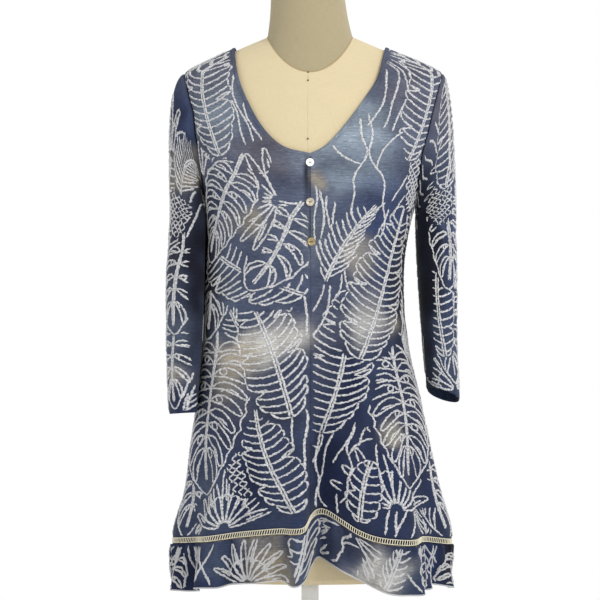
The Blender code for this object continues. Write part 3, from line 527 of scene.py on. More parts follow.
class Panel:
    """Half of the body's front or back: from the centre to the side, on one side."""

    def __init__(self, side, back):
        self.side = side
        self.back = back
        self.neck = SeamLine(NECK_BACK if back else NECK_FRONT, side, back)
        self.arm = SeamLine(ARMHOLE_BACK if back else ARMHOLE_FRONT, side, back)
        self.neck_share = BACK_NECK_SHARE if back else FRONT_NECK_SHARE
        self.turn = math.pi if back else 0.0
        self.direction = -DIRECTION[side] if back else DIRECTION[side]

    def grid(self, rows, columns, crowding):
        """Angles and heights of the panel's points, top row first, centre column first."""
        s = np.linspace(0.0, 1.0, rows + 1)[:, None]
        u = np.linspace(0.0, 1.0, columns + 1)[None, :] ** crowding
        hem_centre = hem_height(self.turn)
        hem_side = hem_height(math.pi / 2)
        neck_angle, neck_height = self.neck.at(s / self.neck_share)
        arm_angle, arm_height = self.arm.at(s / ARMHOLE_SHARE)
        below_neck = (s - self.neck_share) / (1 - self.neck_share)
        below_arm = (s - ARMHOLE_SHARE) / (1 - ARMHOLE_SHARE)
        inner_angle = np.where(below_neck > 0, 0.0, neck_angle)
        centre = mix(self.neck.heights[-1], hem_centre, below_neck)
        inner_height = np.where(below_neck > 0, centre, neck_height)
        outer_angle = np.where(below_arm > 0, math.pi / 2, arm_angle)
        side = mix(self.arm.heights[-1], hem_side, below_arm)
        outer_height = np.where(below_arm > 0, side, arm_height)
        angle = mix(inner_angle, outer_angle, u)
        height = mix(inner_height, outer_height, u)
        angle = angle + (math.pi / 2 - angle[:1]) * np.exp(-(s / SHOULDER_CLOSING) ** 2)
        turned = self.turn + self.direction * angle
        far_hem = hem_height(self.turn + self.direction * math.pi / 2)
        level = mix(hem_centre, far_hem, angle / (math.pi / 2))
        return turned, height + ease(below_arm) * (hem_height(turned) - level)

    def holds(self, angle, height, margin):
        """Whether places lie on the panel, a margin in from its edges."""
        from_centre = (angle - self.turn) * self.direction
        edge = margin / CLOTH.radius(height)
        inside = (from_centre > edge) & (from_centre < math.pi / 2 - edge)
        inside &= height > hem_height(angle) + margin
        along = (from_centre - self.neck.angles[0]) / (self.arm.angles[0] - self.neck.angles[0])
        shoulder = mix(self.neck.heights[0], self.arm.heights[0], np.clip(along, 0.0, 1.0))
        inside &= height < shoulder - margin
        beside_neck = height > self.neck.heights[-1] - margin
        inside &= ~(beside_neck & (from_centre < self.neck.angle_for(height) + 0.4 * edge))
        beside_arm = height > self.arm.heights[-1]
        return inside & ~(beside_arm & (from_centre > self.arm.angle_for(height) - edge))


class Sleeve:
    """Surface of a sleeve: a turn round it (0 outermost, 90 degrees the front) and a level.

    Below the armhole the level is the height. Above it, the level counts down the sleeve cap.
    """

    def __init__(self, side):
        self.side = side
        self.direction = DIRECTION[side]
        self.end = SLEEVE_ENDS[side]
        for column in ("outer", "inner", "front", "back"):
            setattr(self, column, Curve(SLEEVE_RINGS[side], column))
        self.arm_front = SeamLine(ARMHOLE_FRONT, side, False)
        self.arm_back = SeamLine(ARMHOLE_BACK, side, True)

    def armhole(self, turn):
        """Points round the armhole seam."""
        share = (turn / math.pi) % 2.0
        front_angle, front_height = self.arm_front.at(share)
        back_angle, back_height = self.arm_back.at(2.0 - share)
        fore = share <= 1.0
        angle = np.where(fore, front_angle, math.pi - back_angle)
        return body(self.direction * angle, np.where(fore, front_height, back_height))

    def oval(self, turn, height):
        """Points on the sleeve's cross-sections."""
        outer = self.outer(height)
        inner = self.inner(height)
        depth = np.where(np.sin(turn) > 0, self.front(height), self.back(height))
        middle = (outer + inner) / 2
        out = np.cos(turn) * (1 + SLEEVE_FULLNESS * np.sin(turn) ** 2)
        forward = np.sin(turn) * (1 + SLEEVE_FULLNESS * np.cos(turn) ** 2)
        shift = self.end.lean * ease(np.sin(turn)) * ease(-1.6 * np.cos(turn))
        x = self.direction * (middle + (outer - inner) / 2 * out - shift)
        return np.stack(np.broadcast_arrays(x, -depth * forward, height), axis=-1)

    def cuff(self, turn):
        """Height of the sleeve's lower edge."""
        return self.end.height + self.end.tilt * (np.sin(turn) - np.cos(turn))

    def crease(self, turn, height):
        """How deep the two long folds of the sleeve are."""
        wrapped = turn % (2 * math.pi)
        folds = sum(np.exp(-((wrapped - math.radians(at)) / wide) ** 2) for at, wide in LONG_FOLDS)
        fade = ease((LONG_FOLD_TOP - height) / LONG_FOLD_FADE)
        fade = fade * ease((height - self.end.height + LONG_FOLD_FADE) / LONG_FOLD_FADE)
        return LONG_FOLD * fade * folds

    def radius(self, level):
        """Mean radius of the sleeve."""
        height = np.minimum(level, SLEEVE_TOP)
        reach = self.outer(height) - self.inner(height) + self.front(height) + self.back(height)
        return reach / 4 * SLEEVE_GIRTH

    def __call__(self, turn, level):
        height = np.minimum(level, SLEEVE_TOP)
        hang = self.oval(turn, height)
        hang[..., 1] += np.copysign(self.crease(turn, height), np.sin(turn))
        start = self.armhole(turn)
        end = self.oval(turn, np.full(np.shape(height), SLEEVE_TOP))
        t = np.clip((SHOULDER_TIP - level) / (SHOULDER_TIP - SLEEVE_TOP), 0.0, 1.0)[..., None]
        reach = np.linalg.norm(end - start, axis=-1, keepdims=True)
        leave = np.concatenate((self.direction * self.end.run_out * reach, 0 * reach,
                                -CAP_RUN_DOWN * reach), axis=-1)
        arrive = np.concatenate((0 * reach, 0 * reach, -reach), axis=-1)
        cap = start * ((1 + 2 * t) * (1 - t) ** 2) + end * (t * t * (3 - 2 * t))
        cap = cap + leave * (t * (1 - t) ** 2) + arrive * (t * t * (t - 1))
        return np.where(np.asarray(level)[..., None] > SLEEVE_TOP, cap, hang)

    def lifted(self, turn, level, out):
        """Points on the creased sleeve, moved out."""
        folded = crease_sum(SLEEVE_CREASES[self.side], np.degrees(turn), level,
                            self.radius(level))
        seam = ease((SHOULDER_TIP - level) / 0.03)
        outward = normals(self, turn, level, -self.direction)
        return self(turn, level) + outward * (folded * seam + out)[..., None]

    def holds(self, turn, level, margin):
        """Whether places lie on the sleeve, a margin in from its edges."""
        underarm = math.pi - margin / self.radius(level)
        inside = (level > self.cuff(turn) + margin) & (level < SHOULDER_TIP - margin)
        return inside & (np.abs(turn) < underarm)


class Ruffle:
    """Surface of the ruffle: an angle round the body and how far down it is, as a share."""

    def __init__(self, part):
        self.waves_out = Curve(RUFFLE_WAVES[part], "out")
        self.waves_drop = Curve(RUFFLE_WAVES[part], "drop")
        self.low = math.radians(RUFFLE_WAVES[part][0].angle)
        self.high = math.radians(RUFFLE_WAVES[part][-1].angle)

    def drop(self, angle):
        """Length of the ruffle at an angle."""
        return RUFFLE_DROP + self.waves_drop(np.degrees(angle))

    def gathers(self, angle, t):
        """Small puckers where the ruffle is gathered on to the trim."""
        place = angle * HEM_RADIUS
        pucker = np.sin(2 * math.pi * place / PUCKER_PITCH + 1.3 * np.sin(place * 61))
        pucker = pucker * (0.75 + 0.35 * np.sin(place * 173 + 1.0))
        longer = np.sin(2 * math.pi * place / GATHER_PITCH + 0.8 * np.sin(place * 29))
        return PUCKER * pucker * np.exp(-t / 0.35) + GATHER * longer * np.exp(-t / 1.2)

    def __call__(self, angle, t, out=0.0):
        degrees = np.degrees(angle)
        top = hem_height(angle) - LADDER_HEIGHT - RUFFLE_GAP
        swing = self.waves_out(degrees) * ease(t * RUFFLE_SWING) / ease(RUFFLE_SWING)
        curl = RUFFLE_CURL * np.sin(math.pi * t) * np.cos(angle * RUFFLE_CURLS)
        moved = swing + curl + RUFFLE_FLARE * t + self.gathers(angle, t) + out
        return body(angle, top - self.drop(angle) * t, moved)

    def lifted(self, angle, t, out):
        """Points moved out from the ruffle."""
        return self(angle, t) + normals(self, angle, t, -1.0) * np.asarray(out)[..., None]

    def holds(self, angle, t, margin):
        """Whether places lie on the ruffle, a margin in from its edges."""
        edge = margin / HEM_RADIUS
        inside = (angle > self.low + edge) & (angle < self.high - edge)
        return inside & (t > margin / RUFFLE_DROP) & (t < 1 - margin / RUFFLE_DROP)


# Dye and painted shade: soft clouds of colour, placed from the middle front and the floor
def tone(red, green, blue):
    """Linear colour from the 0 to 255 numbers of a colour picker."""
    picked = np.array((red, green, blue)) / 255.0
    return np.where(picked <= 0.04045, picked / 12.92, ((picked + 0.055) / 1.055) ** 2.4)


TONES = {
    "slate": tone(60, 67, 86),
    "sky": tone(101, 112, 125),
    "blue": tone(52, 63, 92),
    "smoke": tone(68, 69, 81),
    "navy": tone(28, 36, 60),
    "ink": tone(9, 12, 24),
    "mist": tone(82, 90, 103),
    "cream": tone(158, 150, 134),
    "chalk": tone(168, 166, 160),
    "sand": tone(128, 120, 104),
}
DYES = read_tables("x height wide tall tone amount", {
    "front": [
        (-0.07, 1.08, 0.085, 0.095, "slate", 0.8), (-0.13, 1.36, 0.04, 0.04, "smoke", 0.8),
        (-0.128, 1.3, 0.038, 0.048, "sky", 0.6), (-0.068, 1.235, 0.055, 0.034, "smoke", 1.0),
        (-0.138, 1.18, 0.024, 0.024, "navy", 0.8), (-0.083, 1.145, 0.024, 0.019, "sand", 0.7),
        (-0.13, 1.02, 0.03, 0.07, "mist", 0.5), (-0.02, 0.985, 0.036, 0.022, "chalk", 0.95),
        (-0.064, 0.973, 0.038, 0.026, "chalk", 0.95), (-0.104, 0.948, 0.03, 0.026, "cream", 0.9),
        (-0.116, 0.9, 0.022, 0.024, "cream", 0.6), (-0.078, 0.885, 0.08, 0.04, "smoke", 0.8),
        (-0.09, 0.77, 0.035, 0.062, "navy", 0.9), (-0.138, 0.755, 0.03, 0.05, "mist", 0.7),
        # The darkest clouds at the sides of the body are painted shade between the sleeves and the
        # body
        (-0.03, 0.8, 0.03, 0.07, "slate", 0.7), (-0.15, 1.07, 0.02, 0.12, "ink", 0.95),
        (0.138, 1.07, 0.026, 0.12, "ink", 0.9), (0.055, 1.262, 0.068, 0.066, "sky", 1.0),
        (0.14, 1.345, 0.045, 0.05, "smoke", 0.9), (0.009, 1.2, 0.012, 0.011, "sand", 0.8),
        (0.11, 1.145, 0.036, 0.036, "blue", 0.9), (0.01, 1.12, 0.02, 0.045, "mist", 0.7),
        (0.064, 1.095, 0.018, 0.03, "cream", 0.5), (0.076, 1.004, 0.022, 0.032, "chalk", 0.65),
        (0.118, 1.0, 0.011, 0.02, "cream", 0.4), (0.03, 0.97, 0.034, 0.06, "smoke", 0.8),
        (0.056, 0.92, 0.019, 0.066, "navy", 0.9), (0.032, 0.79, 0.036, 0.085, "navy", 1.0),
        (0.146, 0.86, 0.042, 0.07, "smoke", 0.8), (0.116, 0.846, 0.013, 0.013, "cream", 0.6),
        # The narrow darkest cloud at the centre is painted shadow beside the lapped placket
        (0.122, 0.785, 0.046, 0.04, "blue", 0.8), (-0.005, 1.204, 0.0044, 0.03, "ink", 0.9),
    ],
    "back": [
        (0.06, 1.33, 0.07, 0.05, "smoke", 0.8), (-0.08, 1.3, 0.06, 0.05, "sky", 0.7),
        (0.02, 1.23, 0.08, 0.035, "mist", 0.7), (0.105, 1.18, 0.035, 0.045, "navy", 0.8),
        (-0.07, 1.15, 0.045, 0.026, "cream", 0.6), (-0.11, 1.06, 0.04, 0.06, "blue", 0.8),
        (0.05, 1.08, 0.05, 0.03, "chalk", 0.7), (0.095, 1.04, 0.034, 0.024, "cream", 0.6),
        (-0.01, 0.98, 0.07, 0.04, "smoke", 0.8), (0.11, 0.93, 0.045, 0.06, "navy", 0.8),
        (-0.09, 0.92, 0.038, 0.03, "chalk", 0.75), (-0.05, 0.85, 0.06, 0.04, "sky", 0.6),
        (0.04, 0.81, 0.04, 0.07, "navy", 0.9), (-0.13, 0.79, 0.04, 0.06, "blue", 0.8),
        (0.12, 0.77, 0.036, 0.036, "cream", 0.6),
    ],
    "sleeve": [
        (-0.188, 1.29, 0.034, 0.065, "navy", 1.0), (-0.17, 1.31, 0.01, 0.05, "blue", 0.6),
        # The darkest clouds on the sleeves' inner sides are painted shade between the sleeves and
        # the body
        (-0.18, 1.212, 0.03, 0.027, "sand", 0.9), (-0.182, 1.11, 0.04, 0.08, "ink", 0.75),
        (-0.185, 0.972, 0.03, 0.046, "mist", 0.8), (-0.186, 0.93, 0.016, 0.015, "cream", 0.6),
        (-0.184, 0.885, 0.03, 0.024, "navy", 0.8), (-0.163, 1.08, 0.016, 0.135, "ink", 1.0),
        (0.19, 1.32, 0.034, 0.055, "smoke", 0.9), (0.172, 1.11, 0.026, 0.13, "ink", 0.95),
        (0.21, 1.1, 0.013, 0.11, "blue", 0.9), (0.19, 0.95, 0.036, 0.06, "mist", 0.8),
        (0.17, 1.03, 0.01, 0.12, "ink", 0.7),
    ],
    "ruffle": [
        (-0.178, 0.655, 0.032, 0.06, "navy", 1.0), (-0.135, 0.68, 0.024, 0.026, "mist", 0.6),
        (-0.1, 0.65, 0.018, 0.05, "navy", 0.9), (-0.052, 0.663, 0.03, 0.06, "sand", 0.95),
        (-0.014, 0.66, 0.009, 0.07, "mist", 0.8), (0.014, 0.69, 0.018, 0.06, "slate", 0.9),
        (0.05, 0.69, 0.022, 0.028, "smoke", 0.8), (0.098, 0.652, 0.042, 0.03, "chalk", 0.95),
        (0.145, 0.64, 0.02, 0.026, "mist", 0.8), (0.168, 0.665, 0.014, 0.05, "blue", 1.0),
        (0.2, 0.665, 0.016, 0.06, "ink", 0.9),
    ],
    "ruffle_back": [
        (-0.15, 0.66, 0.04, 0.05, "navy", 0.9), (-0.07, 0.66, 0.036, 0.04, "cream", 0.85),
        (0.01, 0.66, 0.034, 0.05, "slate", 0.9), (0.075, 0.655, 0.03, 0.04, "chalk", 0.8),
        (0.15, 0.66, 0.04, 0.05, "navy", 0.9),
    ],
})
PALE_TONES = ("cream", "chalk", "sand")
# How bright the cloth is at each height: darker towards the hem and lighter over the chest. Below
# the chest the right side is darker still, and darker places turn bluer
HEIGHT_BRIGHTNESS = Curve(read_rows("height share", [
    (0.60, 0.56), (0.76, 0.56), (0.90, 0.60), (0.98, 0.78),
    (1.08, 1.02), (1.18, 1.18), (1.30, 1.20), (1.44, 0.95),
]), "share")
DEPTH_TINT = np.array((1.25, 1.05, 0.70))
RIGHT_DEEPER = 0.35
DEEPER_BELOW = 1.28
DEEPER_WITHIN = 0.12

# What breaks up the dye's edges, and what darkens and lightens the cloth a little
WARP_SHARE = 0.35
WARP_MOST_ACROSS = 0.010
WARP_MOST_UP = 0.012
EDGE_HARDNESS = 1.3
MOTTLE_SHARE = 0.13
FLECK_SHARE = 0.06
WARP_ACROSS = Cloud(0.075, 3)
WARP_UP = Cloud(0.070, 4)
MOTTLE = Cloud(0.050, 5)
FLECK = Cloud(0.014, 6)


def dye_colours(points, table):
    """Colours of the dyed cloth at points, with cloudy edges, and the painted shade that some
    clouds give.
    """
    warp_across = WARP_ACROSS(points)
    warp_up = WARP_UP(points)
    to_right = ease(points[:, :1] / DEEPER_WITHIN)
    deeper = RIGHT_DEEPER * to_right * ease((DEEPER_BELOW - points[:, 2:]) / DEEPER_WITHIN)
    depth = (HEIGHT_BRIGHTNESS(points[:, 2])[:, None] * (1 - deeper)) ** DEPTH_TINT
    colours = TONES["slate"] * depth
    for dye in DYES[table]:
        x = points[:, 0] + min(WARP_SHARE * dye.wide, WARP_MOST_ACROSS) * warp_across
        height = points[:, 2] + min(WARP_SHARE * dye.tall, WARP_MOST_UP) * warp_up
        spread = ((x - dye.x) / dye.wide) ** 2 + ((height - dye.height) / dye.tall) ** 2
        share = (dye.amount * np.exp(-spread ** EDGE_HARDNESS))[:, None]
        strength = 1.0 if dye.tone in PALE_TONES else depth
        colours = colours * (1 - share) + TONES[dye.tone] * strength * share
    shade = 1.0 + MOTTLE_SHARE * MOTTLE(points) + FLECK_SHARE * FLECK(points)
    return np.clip(colours * shade[:, None], 0.004, 0.95)


# Leaf motifs: drawn in their own plane, with the leaf's stalk at 0, 0 and its tip up
# The four weights are shares of a vein's width
FINE = 0.85
VEIN = 1.0
RIB = 1.05
STALK = 1.20
RIB_GAP = 0.0036


def bent_line(start, end, bow, count=14):
    """Line from start to end that bows to its left by a share of its length."""
    start = np.array(start, float)
    end = np.array(end, float)
    t = np.linspace(0.0, 1.0, count)[:, None]
    across = np.array((start[1] - end[1], end[0] - start[0]))
    return start + (end - start) * t + across * bow * (4 * t * (1 - t))


def oval_line(middle, wide, tall, turn, count=18):
    """Closed oval."""
    angle = np.linspace(0.0, 2 * math.pi, count)
    x = wide * np.cos(angle)
    y = tall * np.sin(angle)
    return pairs(middle[0] + x * math.cos(turn) + y * math.sin(turn),
                 middle[1] - x * math.sin(turn) + y * math.cos(turn))


def beside(line):
    """Directions to the right of a line, at each of its points."""
    ahead = unit(np.gradient(line, axis=0))
    return pairs(ahead[:, 1], -ahead[:, 0])


def paired(line, gap):
    """Two lines, half a gap to each side of a line."""
    half = beside(line) * gap / 2
    return [line + half, line - half]


def finger(start, end, width, bow, count=20):
    """Long narrow loop from start, round its far end and back."""
    middle = bent_line(start, end, bow, count)
    t = np.linspace(0.0, 1.0, count)[:, None]
    wide = width / 2 * np.minimum(np.sin(math.pi * np.clip(t * 0.97, 0, 1)) ** 0.5, 3 * t + 0.15)
    edge = beside(middle) * wide
    return np.concatenate((middle + edge, (middle - edge)[::-1]))


class Leaf:
    """A kind of leaf, by its size and its twist to the left or the right.

    Its lines are pairs of a line's points and its weight, rib is how far its midrib lies to
    the side at a length q, and half_width is how far its edge lies from the midrib there.
    """

    bow_share = 0.0
    half_share = 0.0

    def __init__(self, size, twist):
        self.size = size
        self.twist = twist
        self.bow = self.bow_share * twist * size
        self.half = self.half_share * size

    def midrib(self, low, high, count):
        """Points of the midrib between two lengths."""
        steps = np.linspace(low, high, count)
        return pairs(self.rib(np.maximum(steps, 0.0)), steps)

    def covers(self, p, q):
        """Whether places lie under the leaf, where later lines stop."""
        return np.zeros(np.shape(p), bool)


class BananaLeaf(Leaf):
    """Long leaf with a double midrib, side veins and an edge that is torn here and there."""

    bow_share = 0.16
    half_share = 0.235
    pitch = 0.0112

    def rib(self, q):
        return self.bow * np.sin(math.pi * 0.55 * q / self.size)

    def half_width(self, q):
        share = np.clip(q / self.size, 0.0, 1.0)
        return self.half * np.sin(math.pi * share ** 0.75) ** 0.55

    def lines(self):
        result = [(line, RIB) for line in paired(self.midrib(0.0, self.size, 30), RIB_GAP)]
        count = max(int(self.size / self.pitch), 6)
        for side in (-1, 1):
            ends = [(0.0, 0.0)]
            for i in range(count):
                q = self.size * (0.05 + 0.84 * i / (count - 1))
                wide = float(self.half_width(q)) * (1 + 0.07 * math.sin(i * 2.1 + side))
                start = (float(self.rib(q)), q)
                ends.append((start[0] + side * wide, q + 0.40 * wide))
                result.append((bent_line(start, ends[-1], -0.08 * side), VEIN))
            ends.append((float(self.rib(self.size)), self.size))
            for i, (near, far) in enumerate(zip(ends, ends[1:])):
                if (i + side) % 5 == 2 and 1 < i < count - 1:
                    inner = (mix(near[0], float(self.rib(near[1])), 0.5), near[1] + 0.003)
                    result.append((bent_line(near, inner, -0.05), VEIN))
                    result.append((bent_line(inner, far, 0.05), VEIN))
                else:
                    result.append((bent_line(near, far, -0.18 * side, 9), VEIN))
        return result

    def covers(self, p, q):
        inside = np.abs(p - self.rib(q)) < self.half_width(q) * 1.04 + 0.003
        return inside & (q > 0.0) & (q < self.size)


class SplitLeaf(Leaf):
    """Broad leaf with an outline, long finger loops on both sides and oval holes."""

    bow_share = 0.10
    half_share = 0.36
    pitch = 0.0205

    def rib(self, q):
        return self.bow * np.sin(math.pi * 0.8 * q / self.size)

    def half_width(self, q):
        share = np.clip((q + 0.10 * self.size) / (1.10 * self.size), 0.0, 1.0)
        return self.half * np.sin(math.pi * share ** 0.70) ** 0.60

    def lines(self):
        rib = self.midrib(-0.22 * self.size, self.size * 0.90, 28)
        result = [(line, STALK) for line in paired(rib, RIB_GAP * 0.8)]
        steps = np.linspace(-0.095 * self.size, self.size, 48)
        count = max(int(self.size / self.pitch), 5)
        for side in (-1, 1):
            wave = 1 - 0.07 * np.abs(np.sin(steps / self.size * math.pi * count))
            edge = self.rib(steps) + side * self.half_width(steps) * wave
            result.append((pairs(edge, steps), VEIN))
            for i in range(count):
                root = self.size * (0.02 + 0.74 * i / count)
                goal = self.size * (-0.02 + 1.00 * (i + 0.35) / count)
                start = np.array((float(self.rib(root)) + side * 0.003, root))
                reach = float(self.half_width(goal)) * (0.90 + 0.04 * math.sin(i * 2.3))
                end = np.array((float(self.rib(goal)) + side * reach, goal))
                width = self.size * 0.062 * (1 + 0.12 * math.sin(i * 1.9 + side))
                result.append((finger(start, end, width, -0.16 * side), VEIN))
                if (i + (side > 0)) % 2:
                    far = mix(start, end, 0.84) - (0.0, 0.02 * self.size)
                    result.append((bent_line(mix(start, end, 0.30), far, -0.14 * side), VEIN))
                elif i:
                    spot = mix(start, end, 0.34) - (0.0, 0.045 * self.size)
                    wide = 0.021 * self.size
                    turn = math.atan2(end[0] - start[0], end[1] - start[1])
                    result.append((oval_line(spot, wide, wide * 1.7, turn), VEIN))
        return result

    def covers(self, p, q):
        inside = np.abs(p - self.rib(q)) < self.half_width(q) + 0.004
        return inside & (q > -0.10 * self.size) & (q < self.size)


class FanLeaf(Leaf):
    """Palm fan: narrow blades that spread from the stalk, with a web between them."""

    spread = math.radians(72)
    blades = 9

    def lines(self):
        stalk = bent_line((0.0, -0.30 * self.size), (0.0, 0.0), 0.06 * self.twist)
        result = [(stalk, STALK)]
        tips = []
        for i in range(self.blades):
            angle = mix(-self.spread, self.spread, i / (self.blades - 1))
            ahead = np.array((math.sin(angle), math.cos(angle)))
            far = self.size * (0.86 + 0.14 * math.cos(angle * 1.3)) * (1 - 0.05 * (i % 2))
            blade = finger(ahead * far * 0.10, ahead * far, self.size * 0.115, 0.02)
            result.append((blade, VEIN))
            if i % 2 == 0:
                result.append((bent_line(ahead * far * 0.46, ahead * far * 0.82, 0.0), VEIN))
            tips.append(ahead * far * 0.60)
        for near, far in zip(tips, tips[1:]):
            result.append((bent_line(near, far, -0.22, 7), VEIN))
        return result

    def covers(self, p, q):
        inside = np.hypot(p, q) < self.size * 0.97
        return inside & (np.abs(np.arctan2(p, q)) < self.spread + 0.14)


class Frond(Leaf):
    """Feather palm leaf: a bent rib with long narrow leaflets that lean to its tip."""

    bow_share = 0.20
    pitch = 0.0095

    def rib(self, q):
        return self.bow * (q / self.size) ** 2

    def half_width(self, q):
        share = np.clip(q / self.size, 0.0, 1.0)
        return 0.25 * self.size * (1 - 0.50 * share) * np.minimum(1.0, 6 * share + 0.4)

    def lines(self):
        rib = self.midrib(0.0, self.size, 24)
        result = [(line, VEIN) for line in paired(rib, RIB_GAP * 0.8)]
        count = max(int(self.size / self.pitch), 7)
        for side in (-1, 1):
            for i in range(count):
                q = self.size * (0.02 + 0.92 * (i + 0.5 * (side > 0)) / count)
                wide = float(self.half_width(q)) * (0.90 + 0.10 * math.sin(i * 1.7 + side))
                start = (float(self.rib(q)), q)
                end = (start[0] + side * wide, q + wide * 1.25)
                result.append((bent_line(start, end, -0.07 * side), VEIN))
        return result

    def covers(self, p, q):
        inside = np.abs(p - self.rib(q)) < self.half_width(q - 0.2 * self.size) + 0.003
        return inside & (q > -0.002) & (q < self.size * 1.10)


class Net(Leaf):
    """Oval patch of small open cells."""

    pitch = 0.0066
    cell = 0.0052
    width = 0.62

    def lines(self):
        count = int(self.size / self.pitch / 2)
        q = np.linspace(-self.size / 2, self.size / 2, 90)
        result = []
        for i in range(-count, count + 1):
            zigzag = 0.42 * self.pitch * np.cos(math.pi * q / self.cell + math.pi * i)
            p = i * self.pitch + zigzag
            p = p + 0.0016 * np.sin(q * 151.0 + i * 1.3) + 0.08 * self.twist * q
            inside = np.flatnonzero((p / self.width) ** 2 + q ** 2 < (self.size / 2) ** 2)
            if len(inside) > 5:
                result.append((pairs(p, q)[inside], FINE))
        return result

    def covers(self, p, q):
        return (p / self.width) ** 2 + q ** 2 < (self.size / 2 + 0.001) ** 2


class Stem(Leaf):
    """Stem that wanders, with a short side shoot."""

    def lines(self):
        q = np.linspace(0.0, self.size, 26)
        wander = np.sin(q / self.size * 2 * math.pi) + 0.4 * np.sin(q / self.size * 17.0)
        stem = pairs(0.05 * self.size * self.twist * wander, q)
        root = stem[len(stem) // 2 + 1]
        tip = root + np.array((0.22 * self.twist, 0.26)) * self.size
        return [(stem, VEIN), (bent_line(root, tip, 0.14), VEIN)]


class Bare(Leaf):
    """Oval place that stays without lines. Its twist is its height against its width."""

    def lines(self):
        return []

    def covers(self, p, q):
        return (p / (0.5 * self.size)) ** 2 + (q / (0.5 * self.size * self.twist)) ** 2 < 1


class Reeds(Leaf):
    """Field of long bent lines, joined here and there, that fills what is left."""

    pitch = 0.0112
    points = 120

    def lines(self):
        q = np.linspace(-self.size, self.size, self.points)
        result = []
        count = int(self.size / self.pitch)
        for i in range(-count, count + 1):
            p = i * self.pitch + 0.014 * np.sin(q / 0.055 + self.twist + i * 0.30)
            p = p + 0.0022 * np.sin(q / 0.013 + i * 2.1)
            result.append((pairs(p, q), VEIN))
            for k in range(3):
                place = (i * 37 + k * 41) % (self.points - 10)
                near = np.array((p[place], q[place]))
                result.append((bent_line(near, near + (self.pitch, 0.006), 0.1, 6), VEIN))
        return result


KINDS = {
    "banana": BananaLeaf,
    "split": SplitLeaf,
    "fan": FanLeaf,
    "frond": Frond,
    "net": Net,
    "stem": Stem,
    "bare": Bare,
    "reeds": Reeds,
}
